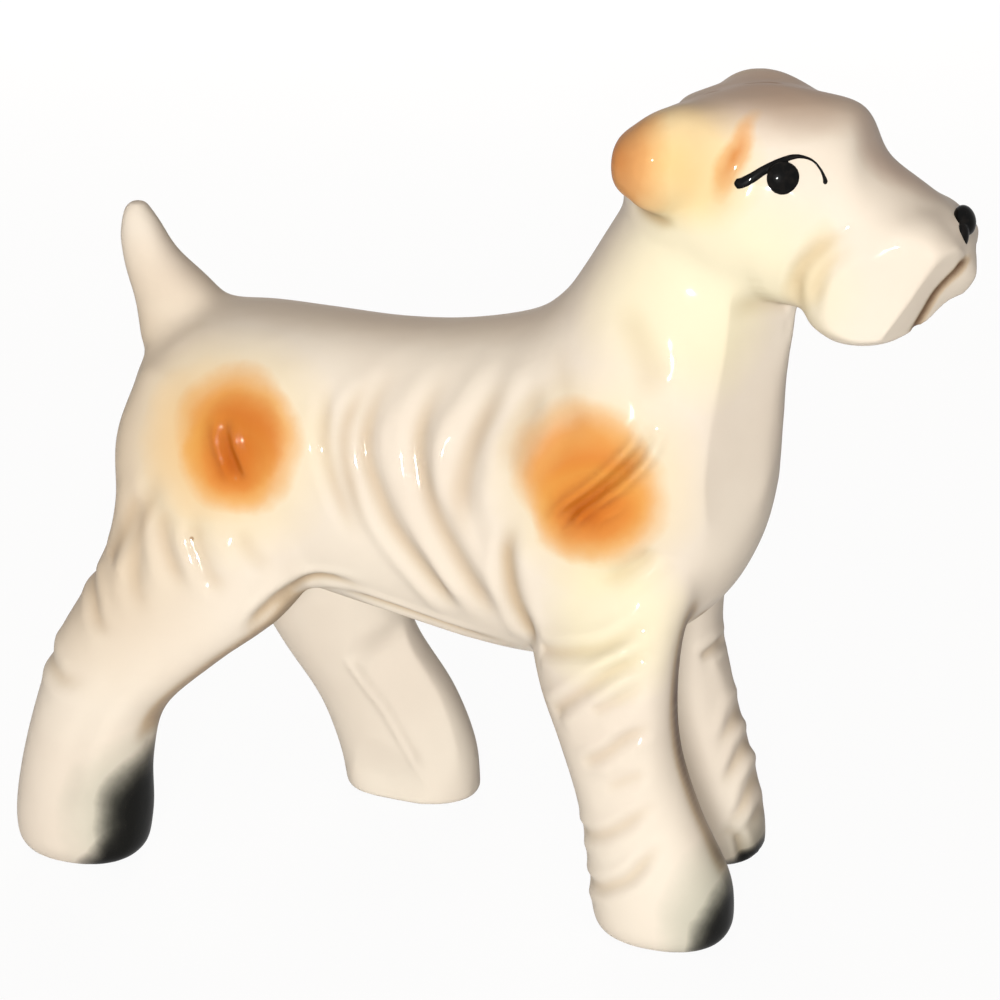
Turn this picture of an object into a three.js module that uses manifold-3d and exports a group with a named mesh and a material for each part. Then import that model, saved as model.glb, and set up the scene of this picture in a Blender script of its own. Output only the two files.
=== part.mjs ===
// A glazed porcelain terrier ornament, standing in mid-stride on four feet.
//
// It is built as a slip caster builds one: a hollow trunk with its neck, a hollow head, four
// solid legs, a docked tail and two folded ears are cast by themselves and luted together with
// slip, and the eyes and nose are low domes of black enamel fired into shallow pockets.
// Millimetres. X runs from tail to nose, Y to the dog's left, and Z up from the shelf.

import * as THREE from "three";
import { mergeVertices } from "three/addons/utils/BufferGeometryUtils.js";
import Module from "manifold-3d";

const wasm = await Module();
wasm.setup();

// Casting
const WALL = 3; // thickness of the hollow castings
const SLIP_GAP = 0.3; // layer of slip between two luted castings
const VENT_DIAMETER = 3; // hole under the belly that lets the kiln's heat empty the trunk
const AIR_HOLE_DIAMETER = 3; // hole pierced through the neck joint into the head

// Trunk and neck
const BACK_HEIGHT = 92.6;
const BELLY_HEIGHT = 43.5;
const RUMP_X = -64.6;
const RUMP_HALF_WIDTH = 18.6;
const WAIST_HALF_WIDTH = 17.4;
const CHEST_HALF_WIDTH = 19.6;
const NECK_HALF_WIDTH = 12.6;
const BREAST_X = 43.8;

// Head. What hangs below the top of the skull is measured down from there.
const SKULL_HEIGHT = 134;
const JAW_DROP = 33;
const NOSE_DROP = 21;
const BEARD_DROP = 35.2; // to the underside of the two beard lobes
const NAPE_X = 22;
const NOSE_X = 70.7;
const SKULL_HALF_WIDTH = 14.6;
const MUZZLE_HALF_WIDTH = 7.4;
const CHIN_HALF_WIDTH = 4.8;
const BEARD_HALF_WIDTH = 5.5; // of one lobe
const BEARD_SPREAD = 6.8; // from the middle of the face to the middle of a lobe
const EAR_SINK = 2.2; // how far the middle of an ear lies inside the skull's side
const EAR_HALF_THICKNESS = 7.4;
const EAR_STAGGER = 2.8; // how much further forward the left ear was luted on
const EYE_RADIUS = 2.3;
const NOSE_RADIUS = 2.7;
const NOSE_TILT = 0.6; // how far the nose looks up, in radians
const ENAMEL_PROUD = 0.7; // how far an enamel dome stands out of the glaze

// Legs: how far each foot stands from the middle of the trunk, and its half width
const FRONT_STANCE = 15.2;
const HIND_STANCE = 20.8;
const FRONT_FOOT_HALF_WIDTH = 8.8;
const HIND_FOOT_HALF_WIDTH = 9;

// Tail
const TAIL_RISE = 14.6; // from the back up to the tip
const TAIL_HALF_WIDTH = 4.2;

// Creases pressed into the coat
const FLANK_CREASE_DEPTH = 0.9;
const LEG_CREASE_DEPTH = 0.75;

const ROUNDNESS = 2.25; // 2 is a true oval, and more flattens its sides
const RING_PITCH = 3.2; // spacing of the rings that a casting is lofted through
const END_BULGE = 2; // how far a rounded end stands out past its last ring
const THINNEST = 0.4; // least half width of a section that is drawn in
const BLOCK = 2 * BACK_HEIGHT; // edge of the cutting blocks, longer than any limb
const SIDES = [1, -1]; // the dog's left and right

// Places on the dog are told by its own proportions. Lengths are shares of the way from the rump
// to the breast, or on the head from the nape to the nose. Heights are levels: 0 is the shelf, 1
// the belly, 2 the back and 3 the top of the skull. Each place is an X and a Z.
const { lerp } = THREE.MathUtils;
const LEVELS = [0, BELLY_HEIGHT, BACK_HEIGHT, SKULL_HEIGHT];
const JAW_HEIGHT = SKULL_HEIGHT - JAW_DROP;
const NOSE_HEIGHT = SKULL_HEIGHT - NOSE_DROP;
const BEARD_HEIGHT = SKULL_HEIGHT - BEARD_DROP;
const alongTrunk = (share) => lerp(RUMP_X, BREAST_X, share);
const alongHead = (share) => lerp(NAPE_X, NOSE_X, share);
const throatAt = (share, up) => [alongTrunk(share), lerp(BELLY_HEIGHT, JAW_HEIGHT, up)];
const tailAt = (share, up) => [alongTrunk(share), BACK_HEIGHT + up * TAIL_RISE];
const headAt = (share, up) => [alongHead(share), lerp(JAW_HEIGHT, SKULL_HEIGHT, up)];
const muzzleAt = (share, up) => [alongHead(share), lerp(BEARD_HEIGHT, NOSE_HEIGHT, up)];
function bodyAt(share, level) {
  const below = THREE.MathUtils.clamp(Math.floor(level), 0, LEVELS.length - 2);
  return [alongTrunk(share), lerp(LEVELS[below], LEVELS[below + 1], level - below)];
}

// One section of a casting: the two points where its outline crosses the dog's own side view,
// its half width across, and how far its middle stands off the centre plane. `step` is the
// spacing of the rings from here to the next section.
function section(front, back, half, y = 0, step = RING_PITCH) {
  return { front, back, half, y, step };
}

// A smooth run of sections, read at any place between two of them: 1.5 is midway from the
// second to the third. Creases cross it at given places, each with its share of the full depth,
// `fade` says how deep they are a turn away from the front point, and `sweep` bows the rings
// back at mid height, as the creases lie.
class Spine {
  constructor(sections, { creases = [], depth = 0, width = 0.2, fade = () => 1, sweep = () => 0 } = {}) {
    Object.assign(this, { sections, creases, depth, width, fade, sweep });
    const through = (pick) => new THREE.CatmullRomCurve3(sections.map(pick), false, "catmullrom", 0.5);
    this.fronts = through((s) => new THREE.Vector3(s.front[0], s.y, s.front[1]));
    this.backs = through((s) => new THREE.Vector3(s.back[0], s.y, s.back[1]));
    this.halves = through((s) => new THREE.Vector3(s.half, 0, 0));
    this.last = sections.length - 1;
  }

  at(place) {
    const u = THREE.MathUtils.clamp(place / this.last, 0, 1);
    return {
      front: this.fronts.getPoint(u),
      back: this.backs.getPoint(u),
      half: this.halves.getPoint(u).x,
    };
  }

  middle(place) {
    const { front, back } = this.at(place);
    return front.add(back).multiplyScalar(0.5);
  }

  creaseDepth(place, turn) {
    const near = this.creases.filter(([at]) => Math.abs(place - at) < this.width);
    const across = (at) => Math.cos(((place - at) / this.width) * (Math.PI / 2)) ** 2;
    return this.depth * this.fade(turn) * near.reduce((sum, [at, share]) => sum + share * across(at), 0);
  }

  // A point of the skin, `turn` away from the front point and `inset` below the surface.
  point(place, turn, inset = 0) {
    const { front, back, half } = this.at(place - this.sweep(place) * Math.sin(turn) ** 2);
    const depth = inset + (inset ? 0 : this.creaseDepth(place, turn));
    const middle = front.clone().add(back).multiplyScalar(0.5);
    const reach = front.sub(middle);
    reach.setLength(Math.max(reach.length() - depth, THINNEST));
    const flattened = (share) => Math.sign(share) * Math.abs(share) ** (2 / ROUNDNESS);
    middle.addScaledVector(reach, flattened(Math.cos(turn)));
    middle.y += Math.max(half - depth, THINNEST) * flattened(Math.sin(turn));
    return middle;
  }

  ring(place, around, inset) {
    const points = [];
    for (let j = 0; j < around; j += 1) points.push(this.point(place, (2 * Math.PI * j) / around, inset));
    return { middle: this.middle(place), points };
  }

  // Where the skin is a turn away from the front point, and which way it faces and runs there.
  onSkin(place, turn) {
    const small = 0.05;
    const point = this.point(place, turn);
    const onward = point.clone().sub(this.point(place - small, turn)).normalize();
    const around = this.point(place, turn + small).sub(this.point(place, turn - small));
    const outward = onward.clone().cross(around).normalize();
    if (outward.dot(point.clone().sub(this.middle(place))) < 0) outward.negate();
    return { point, outward, onward };
  }

  // Places of the rings: evenly spaced, and closer together through each crease.
  places(coarseness) {
    const even = [];
    for (let i = 0; i < this.last; i += 1) {
      const [here, next] = [this.at(i), this.at(i + 1)];
      const span = (here.front.distanceTo(next.front) + here.back.distanceTo(next.back)) / 2;
      const count = Math.max(1, Math.round(span / (this.sections[i].step * coarseness)));
      for (let k = 0; k < count; k += 1) even.push(i + k / count);
    }
    even.push(this.last);
    if (coarseness > 1) return even;
    const creased = this.creases.flatMap(([at]) => [-1, -0.4, 0.4, 1].map((k) => at + k * this.width));
    const clear = even.filter((p) => creased.every((c) => Math.abs(c - p) > this.width * 0.4));
    const all = [...clear, ...creased].sort((a, b) => a - b);
    return all.filter((p, i) => i === 0 || p - all[i - 1] > this.width * 0.2);
  }
}

// The closed skin of a spine, as rings of `around` points. `inset` draws it in on every side,
// `start` and `end` say how far each end bulges past its last section, and with `sole` the last
// section's edge is rounded into a flat foot instead.
function skin(spine, shape) {
  const { around, inset = 0, start = END_BULGE, end = END_BULGE, sole = false, coarseness = 1 } = shape;
  const rings = spine.places(coarseness).map((place) => spine.ring(place, around, inset));
  const startDome = dome(rings[0], rings[1], start);
  const [edge, inner] = [rings[rings.length - 1], rings[rings.length - 2]];
  const endCap = sole ? foot(edge) : dome(edge, inner, end);
  return stitched([...startDome.rings.reverse(), ...rings, ...endCap.rings], around, startDome.tip, endCap.tip);
}

function shrunk({ middle, points }, share, moved = middle) {
  return { middle: moved, points: points.map((p) => p.clone().sub(middle).multiplyScalar(share).add(moved)) };
}

// A rounded end past a spine's last ring.
function dome(edge, inner, reach) {
  const outward = edge.middle.clone().sub(inner.middle).normalize();
  const steps = 3;
  const rings = [];
  for (let k = 1; k < steps; k += 1) {
    const turn = (k / steps) * (Math.PI / 2);
    const moved = edge.middle.clone().addScaledVector(outward, reach * Math.sin(turn));
    rings.push(shrunk(edge, Math.cos(turn), moved));
  }
  return { rings, tip: edge.middle.clone().addScaledVector(outward, reach) };
}

// The rounded edge of a foot, from its last section down to its flat sole on the shelf.
function foot(edge) {
  const radius = edge.middle.z;
  const width = edge.points[0].distanceTo(edge.middle);
  const steps = 3;
  const rings = [];
  for (let k = 1; k <= steps; k += 1) {
    const turn = (k / steps) * (Math.PI / 2);
    const lowered = shrunk(edge, 1 - (radius * (1 - Math.cos(turn))) / width);
    lowered.points.forEach((p) => p.setZ(radius * (1 - Math.sin(turn))));
    rings.push(lowered);
  }
  return { rings, tip: edge.middle.clone().setZ(0) };
}

function stitched(rings, around, startTip, endTip) {
  const positions = rings.flatMap(({ points }) => points.flatMap((p) => p.toArray()));
  positions.push(...startTip.toArray(), ...endTip.toArray());
  const first = rings.length * around;
  const lastRing = first - around;
  const faces = [];
  for (let j = 0; j < around; j += 1) {
    const next = (j + 1) % around;
    faces.push(first, next, j);
    for (let a = j, b = next; a < lastRing; a += around, b += around) {
      faces.push(a, b, b + around, a, b + around, a + around);
    }
    faces.push(first + 1, lastRing + j, lastRing + next);
  }
  const geometry = new THREE.BufferGeometry();
  geometry.setAttribute("position", new THREE.Float32BufferAttribute(positions, 3));
  geometry.setIndex(faces);
  return geometry;
}

// A closed mesh as a solid that can be cut and joined, whichever way its faces were wound.
function solid(geometry) {
  const bare = new THREE.BufferGeometry();
  bare.setAttribute("position", geometry.getAttribute("position"));
  bare.setIndex(geometry.getIndex());
  const merged = mergeVertices(bare, 1e-4);
  const vertProperties = merged.attributes.position.array;
  const build = (triVerts) => new wasm.Manifold(new wasm.Mesh({ numProp: 3, vertProperties, triVerts }));
  const faces = new Uint32Array(merged.index.array);
  const made = build(faces);
  return made.volume() > 0 ? made : build(faces.reverse());
}

function geometryOf(made) {
  const mesh = made.getMesh();
  const geometry = new THREE.BufferGeometry();
  geometry.setAttribute("position", new THREE.BufferAttribute(mesh.vertProperties, 3));
  geometry.setIndex(new THREE.BufferAttribute(mesh.triVerts, 1));
  return geometry;
}

const joined = (...solids) => solids.reduce((all, one) => all.add(one));

// A block that holds what lies onward of a place on a spine, for cutting a limb off there.
// `clear` draws it back from the cut.
function blockPast(spine, place, clear) {
  const { front, back } = spine.at(place);
  const run = front.clone().sub(back).setY(0).normalize();
  const onward = spine.middle(place + 0.1).sub(spine.middle(place - 0.1));
  if (onward.dot(new THREE.Vector3(-run.z, 0, run.x)) < 0) run.negate();
  const square = new THREE.Vector3(-run.z, 0, run.x);
  const middle = spine.middle(place).addScaledVector(square, clear + BLOCK / 2);
  const geometry = new THREE.BoxGeometry(BLOCK, BLOCK, BLOCK);
  geometry.applyMatrix4(new THREE.Matrix4().makeBasis(run, new THREE.Vector3(0, 1, 0), square));
  geometry.translate(middle.x, middle.y, middle.z);
  return solid(geometry);
}

// A round bore along a direction.
function rod(middle, direction, diameter, length) {
  const geometry = new THREE.CylinderGeometry(diameter / 2, diameter / 2, length, 12);
  const run = direction.clone().normalize();
  geometry.applyQuaternion(new THREE.Quaternion().setFromUnitVectors(new THREE.Vector3(0, 1, 0), run));
  geometry.translate(middle.x, middle.y, middle.z);
  return solid(geometry);
}

// Sections of the trunk, from the rump along the back and up the neck: the back or nape point
// first, then the belly, breast or throat point below it. The flank's creases lean forward
// going down, so the sections of the waist do too.
const trunkSpine = new Spine(
  [
    section(bodyAt(0.055, 1.914), bodyAt(0, 1.633), 0.511 * RUMP_HALF_WIDTH),
    section(bodyAt(0.115, 1.988), bodyAt(0.051, 1.369), 0.833 * RUMP_HALF_WIDTH),
    section(bodyAt(0.181, 2.01), bodyAt(0.172, 1.163), RUMP_HALF_WIDTH),
    section(bodyAt(0.292, 2.005), bodyAt(0.31, 1.061), RUMP_HALF_WIDTH),
    section(bodyAt(0.411, 2), bodyAt(0.504, 0.972), WAIST_HALF_WIDTH),
    section(bodyAt(0.522, 2.022), bodyAt(0.633, 0.926), 1.046 * WAIST_HALF_WIDTH),
    section(bodyAt(0.628, 2.087), bodyAt(0.753, 0.959), CHEST_HALF_WIDTH),
    section(bodyAt(0.684, 2.188), throatAt(0.896, 0.104), CHEST_HALF_WIDTH),
    section(bodyAt(0.716, 2.304), throatAt(0.974, 0.313), 0.939 * CHEST_HALF_WIDTH),
    section(bodyAt(0.744, 2.425), throatAt(1, 0.557), 1.27 * NECK_HALF_WIDTH),
    section(bodyAt(0.771, 2.546), throatAt(1.008, 0.791), 1.079 * NECK_HALF_WIDTH),
    section(bodyAt(0.799, 2.667), throatAt(1.018, 0.983), 0.952 * NECK_HALF_WIDTH),
  ],
  {
    creases: [
      [3.4, 0.35], [3.72, 0.45], [4.04, 0.75], [4.36, 0.85], [4.72, 1], [5.08, 0.9], [5.47, 0.7], [5.95, 1],
    ],
    depth: FLANK_CREASE_DEPTH,
    width: 0.17,
    fade: (turn) => THREE.MathUtils.smoothstep(Math.abs(Math.sin(turn)), 0.4, 0.95),
    sweep: (place) => 0.6 * Math.exp(-(((place - 4.4) / 1.5) ** 2)),
  },
);
const NECK_JOINT = 10.35; // place along the trunk's spine where the head is luted on

const MUZZLE_PITCH = 0.625 * RING_PITCH;
const headSpine = new Spine([
  section(headAt(0, 0.697), headAt(0, 0.333), 0.548 * SKULL_HALF_WIDTH),
  section(headAt(0.123, 0.894), headAt(0.103, 0.091), 0.856 * SKULL_HALF_WIDTH),
  section(headAt(0.329, 1), headAt(0.308, 0), SKULL_HALF_WIDTH),
  section(headAt(0.534, 0.973), headAt(0.493, 0), 0.959 * SKULL_HALF_WIDTH),
  section(headAt(0.665, 0.921), headAt(0.616, 0.015), 0.822 * SKULL_HALF_WIDTH, 0, MUZZLE_PITCH),
  section(headAt(0.725, 0.733), headAt(0.719, 0.03), 1.257 * MUZZLE_HALF_WIDTH, 0, MUZZLE_PITCH),
  section(headAt(0.846, 0.63), headAt(0.832, 0.061), MUZZLE_HALF_WIDTH, 0, MUZZLE_PITCH),
  section(headAt(0.945, 0.545), headAt(0.945, 0.121), 0.892 * MUZZLE_HALF_WIDTH, 0, MUZZLE_PITCH),
  section(muzzleAt(0.988, 1.246), muzzleAt(0.996, 0.683), 0.581 * MUZZLE_HALF_WIDTH),
]);
const HEAD_ENDS = { around: 28, start: 1.5 * END_BULGE, end: 0.8 * END_BULGE };
const EYE_PLACE = 2.9; // place along the head's spine, and turn from the top of the skull
const EYE_TURN = 1.24;

// Front and rear points of a beard lobe, from the lip down.
function beardSpine(side) {
  const [half, out] = [BEARD_HALF_WIDTH, side * BEARD_SPREAD];
  return new Spine([
    section(muzzleAt(0.932, 1.352), muzzleAt(0.657, 1.176), 0.8 * half, 0.647 * out),
    section(muzzleAt(0.99, 0.93), muzzleAt(0.587, 0.789), 0.982 * half, 0.868 * out),
    section(muzzleAt(0.953, 0.493), muzzleAt(0.546, 0.401), half, out),
    section(muzzleAt(0.887, 0.183), muzzleAt(0.567, 0.141), 0.909 * half, 1.044 * out),
    section(muzzleAt(0.813, 0.035), muzzleAt(0.624, 0.028), 0.691 * half, 1.029 * out),
  ]);
}

const chinSpine = new Spine([
  section(muzzleAt(1.033, 0.93), muzzleAt(0.78, 0.93), 0.958 * CHIN_HALF_WIDTH),
  section(muzzleAt(1.031, 0.535), muzzleAt(0.78, 0.38), CHIN_HALF_WIDTH),
]);

// Top and bottom points of a folded ear, from its fold back to its rounded rear edge.
function earSpine(side) {
  const stagger = side > 0 ? EAR_STAGGER : 0;
  const earAt = (share, up) => [headAt(share, up)[0] + stagger, headAt(share, up)[1]];
  const [half, out] = [EAR_HALF_THICKNESS, side * (SKULL_HALF_WIDTH - EAR_SINK)];
  return new Spine([
    section(earAt(0.38, 0.958), earAt(0.329, 0.545), 0.757 * half, 0.742 * out),
    section(earAt(0.246, 1.024), earAt(0.195, 0.467), 1.027 * half, 0.919 * out),
    section(earAt(0.111, 0.985), earAt(0.103, 0.467), half, out),
    section(earAt(0.018, 0.861), earAt(0.016, 0.539), 0.73 * half, out),
  ]);
}

const tailSpine = new Spine([
  section(tailAt(0.153, -0.171), tailAt(0, -0.548), 1.833 * TAIL_HALF_WIDTH),
  section(tailAt(0.103, 0.219), tailAt(-0.011, -0.068), 1.333 * TAIL_HALF_WIDTH),
  section(tailAt(0.052, 0.548), tailAt(-0.028, 0.288), TAIL_HALF_WIDTH),
  section(tailAt(0.028, 0.836), tailAt(-0.037, 0.671), 0.786 * TAIL_HALF_WIDTH),
  section(tailAt(0.011, 1), tailAt(-0.031, 0.932), 0.619 * TAIL_HALF_WIDTH),
]);
const TAIL_JOINT = 1.15;

// Sections of a leg, from inside the shoulder or hip down to the sole, whose height is the
// rounding of its edge. Each row is the front point and the rear point, then the leg's width there
// as a share of its foot's, and how far out it stands as a share of its stance.
const limb = (stance, footHalf, rows) =>
  rows.map(([front, back, wide, out]) =>
    section(bodyAt(...front), bodyAt(...back), wide * footHalf, out * stance),
  );

// The creases of a front leg climb towards the front, so its sections do too.
const deepestAt = (facing) => (turn) => (0.5 + 0.5 * Math.cos(turn - facing)) ** 1.2;
const legs = {
  front_leg_right: {
    joint: 2.6,
    spine: new Spine(
      limb(-FRONT_STANCE, FRONT_FOOT_HALF_WIDTH, [
        [[0.919, 1.54], [0.679, 1.377], 0.909, 0.592],
        [[0.926, 1.356], [0.668, 1.122], 1.023, 0.684],
        [[0.904, 1.173], [0.69, 0.931], 0.977, 0.855],
        [[0.884, 0.989], [0.727, 0.724], 0.886, 0.961],
        [[0.893, 0.747], [0.756, 0.506], 0.852, 0.974],
        [[0.924, 0.494], [0.772, 0.299], 0.909, 0.974],
        [[0.979, 0.253], [0.779, 0.149], 1, 0.974],
        [[0.993, 0.092], [0.782, 0.092], 1, 0.974],
      ]),
      {
        creases: [[1.5, 0.7], [2.05, 0.8], [2.55, 0.6], [3.1, 0.7], [3.6, 0.5], [4.75, 0.8], [5.6, 1]],
        depth: LEG_CREASE_DEPTH,
        width: 0.24,
        fade: deepestAt(-Math.PI / 3),
      },
    ),
  },
  front_leg_left: {
    joint: 2.6,
    spine: new Spine(
      limb(FRONT_STANCE, FRONT_FOOT_HALF_WIDTH, [
        [[0.91, 1.54], [0.679, 1.377], 0.909, 0.592],
        [[0.91, 1.336], [0.67, 1.132], 1.023, 0.711],
        [[0.893, 1.153], [0.683, 0.943], 0.977, 0.842],
        [[0.882, 0.954], [0.708, 0.736], 0.898, 0.987],
        [[0.897, 0.724], [0.738, 0.529], 0.864, 1.066],
        [[0.924, 0.483], [0.762, 0.31], 0.898, 1.092],
        [[0.953, 0.218], [0.775, 0.138], 0.955, 1.092],
        [[0.958, 0.069], [0.78, 0.069], 0.943, 1.092],
      ]),
      {
        creases: [[2.05, 0.7], [2.7, 0.9], [3.3, 1], [3.9, 1], [4.5, 1], [5.1, 0.9], [5.65, 0.7]],
        depth: LEG_CREASE_DEPTH,
        width: 0.26,
        fade: deepestAt(0),
      },
    ),
  },
  hind_leg_right: {
    joint: 3.75,
    spine: new Spine(
      limb(-HIND_STANCE, HIND_FOOT_HALF_WIDTH, [
        [[0.273, 1.743], [0.038, 1.825], 0.889, 0.385],
        [[0.319, 1.479], [-0.003, 1.58], 1.133, 0.462],
        [[0.328, 1.234], [0, 1.305], 1.156, 0.567],
        [[0.275, 1.018], [-0.041, 1.081], 1.078, 0.673],
        [[0.185, 0.837], [-0.087, 0.874], 0.967, 0.808],
        [[0.092, 0.621], [-0.118, 0.632], 0.889, 0.894],
        [[0.068, 0.402], [-0.142, 0.391], 0.933, 0.952],
        [[0.068, 0.207], [-0.153, 0.198], 1, 0.99],
        [[0.063, 0.097], [-0.151, 0.097], 1, 1.01],
      ]),
    ),
  },
  hind_leg_left: {
    joint: 3.6,
    spine: new Spine(
      limb(HIND_STANCE, HIND_FOOT_HALF_WIDTH, [
        [[0.31, 1.723], [0.098, 1.764], 0.889, 0.337],
        [[0.342, 1.438], [0.042, 1.479], 1.133, 0.457],
        [[0.347, 1.193], [0.056, 1.193], 1.156, 0.577],
        [[0.349, 0.966], [0.093, 0.931], 1.067, 0.721],
        [[0.365, 0.713], [0.138, 0.644], 0.978, 0.88],
        [[0.421, 0.46], [0.192, 0.391], 0.911, 1],
        [[0.454, 0.218], [0.221, 0.172], 0.933, 1.058],
        [[0.461, 0.028], [0.234, 0.028], 0.956, 1.058],
      ]),
    ),
  },
};

// The outsides of the trunk and head, and the same spines drawn in by the wall for the hollows.
const TRUNK_ENDS = { around: 32, start: 0.8 * END_BULGE };
const trunkSkin = solid(skin(trunkSpine, TRUNK_ENDS));
const headSkin = joined(
  solid(skin(headSpine, HEAD_ENDS)),
  solid(skin(chinSpine, { around: 14, end: 0.8 * END_BULGE })),
  ...SIDES.map((side) => solid(skin(beardSpine(side), { around: 14, end: 0.7 * END_BULGE }))),
);
const bore = { inset: WALL, around: 14, coarseness: 3, start: 0.5 * END_BULGE, end: 0.5 * END_BULGE };
const trunkHollow = solid(skin(trunkSpine, bore)).subtract(blockPast(trunkSpine, NECK_JOINT, -WALL));
const headHollow = solid(skin(headSpine, bore)).intersect(blockPast(trunkSpine, NECK_JOINT, WALL));
const vent = rod(trunkSpine.point(4, Math.PI), new THREE.Vector3(0, 0, 1), VENT_DIAMETER, 4 * WALL);
const neck = trunkSpine.at(NECK_JOINT);
const neckRun = neck.front.clone().sub(neck.back);
const upTheNeck = new THREE.Vector3(-neckRun.z, 0, neckRun.x);
const airHole = rod(trunkSpine.middle(NECK_JOINT), upTheNeck, AIR_HOLE_DIAMETER, 4 * WALL);

// The tail and each leg are luted to a stump on the trunk, with the slip's thickness between.
const castings = {};
const stumps = [];
const trunkWithSlip = solid(skin(trunkSpine, { ...TRUNK_ENDS, inset: -SLIP_GAP }));
function lute(name, spine, joint, shape) {
  const limb = solid(skin(spine, shape));
  castings[name] = limb.intersect(blockPast(spine, joint, SLIP_GAP / 2)).subtract(trunkWithSlip);
  stumps.push(limb.subtract(blockPast(spine, joint, -SLIP_GAP / 2)));
}
lute("tail", tailSpine, TAIL_JOINT, { around: 14 });
const limbShape = { around: 18, sole: true };
for (const [name, { spine, joint }] of Object.entries(legs)) lute(name, spine, joint, limbShape);

// The head is luted on across the neck.
const outside = joined(trunkSkin, headSkin, ...stumps);
castings.head = outside.intersect(blockPast(trunkSpine, NECK_JOINT, SLIP_GAP / 2)).subtract(headHollow);
castings.head = castings.head.subtract(airHole);
castings.trunk = outside.subtract(blockPast(trunkSpine, NECK_JOINT, -SLIP_GAP / 2)).subtract(trunkHollow);
castings.trunk = castings.trunk.subtract(vent).subtract(airHole);

// Ears lie against the sides of the skull, on a bed of slip.
const headWithSlip = solid(skin(headSpine, { ...HEAD_ENDS, inset: -SLIP_GAP }));
for (const side of SIDES) {
  const ear = solid(skin(earSpine(side), { around: 18 }));
  castings[side > 0 ? "ear_left" : "ear_right"] = ear.subtract(headWithSlip);
}

// A low dome of enamel on the head, and the pocket that it was fired into.
function enamel({ point, outward, onward }, radius) {
  const frame = new THREE.Matrix4().makeBasis(onward, outward.clone().cross(onward), outward);
  const dot = (grown) => {
    const geometry = new THREE.SphereGeometry(1, 16, 8);
    geometry.scale(radius + grown, radius + grown, ENAMEL_PROUD + grown);
    geometry.applyMatrix4(frame);
    geometry.translate(point.x, point.y, point.z);
    return solid(geometry);
  };
  castings.head = castings.head.subtract(dot(SLIP_GAP));
  return dot(0);
}
castings.eye_left_enamel = enamel(headSpine.onSkin(EYE_PLACE, EYE_TURN), EYE_RADIUS);
castings.eye_right_enamel = enamel(headSpine.onSkin(EYE_PLACE, -EYE_TURN), EYE_RADIUS);
const outOfNose = new THREE.Vector3(Math.cos(NOSE_TILT), 0, Math.sin(NOSE_TILT));
const noseSpot = {
  point: new THREE.Vector3(NOSE_X, 0, NOSE_HEIGHT + NOSE_RADIUS),
  outward: outOfNose,
  onward: new THREE.Vector3(-outOfNose.z, 0, outOfNose.x),
};
castings.nose_enamel = enamel(noseSpot, NOSE_RADIUS);

const creamGlaze = new THREE.MeshStandardMaterial({ color: 0xead9c6, roughness: 0.16, metalness: 0 });
const amberGlaze = new THREE.MeshStandardMaterial({ color: 0xdc9a52, roughness: 0.16, metalness: 0 });
const blackEnamel = new THREE.MeshStandardMaterial({ color: 0x100d0c, roughness: 0.1, metalness: 0 });
const glazeOf = (name) => {
  if (name.endsWith("enamel")) return blackEnamel;
  return name.startsWith("ear") ? amberGlaze : creamGlaze;
};

// The origin is on the shelf, under the middle of the whole ornament.
const dog = new THREE.Group();
for (const [name, casting] of Object.entries(castings)) {
  const mesh = new THREE.Mesh(geometryOf(casting), glazeOf(name));
  mesh.name = name;
  dog.add(mesh);
}
const extent = new THREE.Box3().setFromObject(dog);
const centre = extent.getCenter(new THREE.Vector3());
dog.children.forEach((mesh) => mesh.position.set(-centre.x, -centre.y, -extent.min.z));

export default dog;
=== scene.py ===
import logging
import math
from dataclasses import dataclass, field, replace
from enum import Enum

import bmesh
import bpy
import numpy as np
from mathutils import Matrix, Vector
from mathutils.bvhtree import BVHTree


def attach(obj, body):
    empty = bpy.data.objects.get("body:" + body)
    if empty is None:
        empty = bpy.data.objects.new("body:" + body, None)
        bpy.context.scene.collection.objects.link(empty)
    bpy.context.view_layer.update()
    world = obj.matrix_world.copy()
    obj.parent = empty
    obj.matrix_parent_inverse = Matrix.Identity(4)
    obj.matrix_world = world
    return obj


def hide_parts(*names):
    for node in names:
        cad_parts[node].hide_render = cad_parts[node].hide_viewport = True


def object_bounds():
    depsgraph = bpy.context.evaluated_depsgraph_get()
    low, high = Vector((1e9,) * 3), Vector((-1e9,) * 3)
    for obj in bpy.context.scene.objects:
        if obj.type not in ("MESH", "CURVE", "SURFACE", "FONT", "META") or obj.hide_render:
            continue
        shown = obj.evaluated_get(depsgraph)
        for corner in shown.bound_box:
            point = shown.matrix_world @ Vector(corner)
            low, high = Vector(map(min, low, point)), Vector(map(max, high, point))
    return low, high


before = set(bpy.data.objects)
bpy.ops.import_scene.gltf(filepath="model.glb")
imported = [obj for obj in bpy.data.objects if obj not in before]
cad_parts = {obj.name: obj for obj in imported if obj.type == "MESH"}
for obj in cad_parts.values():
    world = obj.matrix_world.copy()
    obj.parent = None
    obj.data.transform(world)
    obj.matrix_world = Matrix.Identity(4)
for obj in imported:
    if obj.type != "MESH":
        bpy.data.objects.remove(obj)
CAD_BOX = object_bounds()

log = logging.getLogger("terrier")

Point = tuple[float, float, float]
Shade = tuple[int, int, int]
Plane = tuple[Point, Point]  # a point of it, and the direction that it faces

MM = 0.001
HEEL_X = -81.185  # rearmost and rightmost points of the dog, in the modeller's millimetres
RIGHT_FOOT_Y = -29.886
TO_FRAME = Vector((CAD_BOX[0].x / MM - HEEL_X, CAD_BOX[0].y / MM - RIGHT_FOOT_Y, 0.0))

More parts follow.
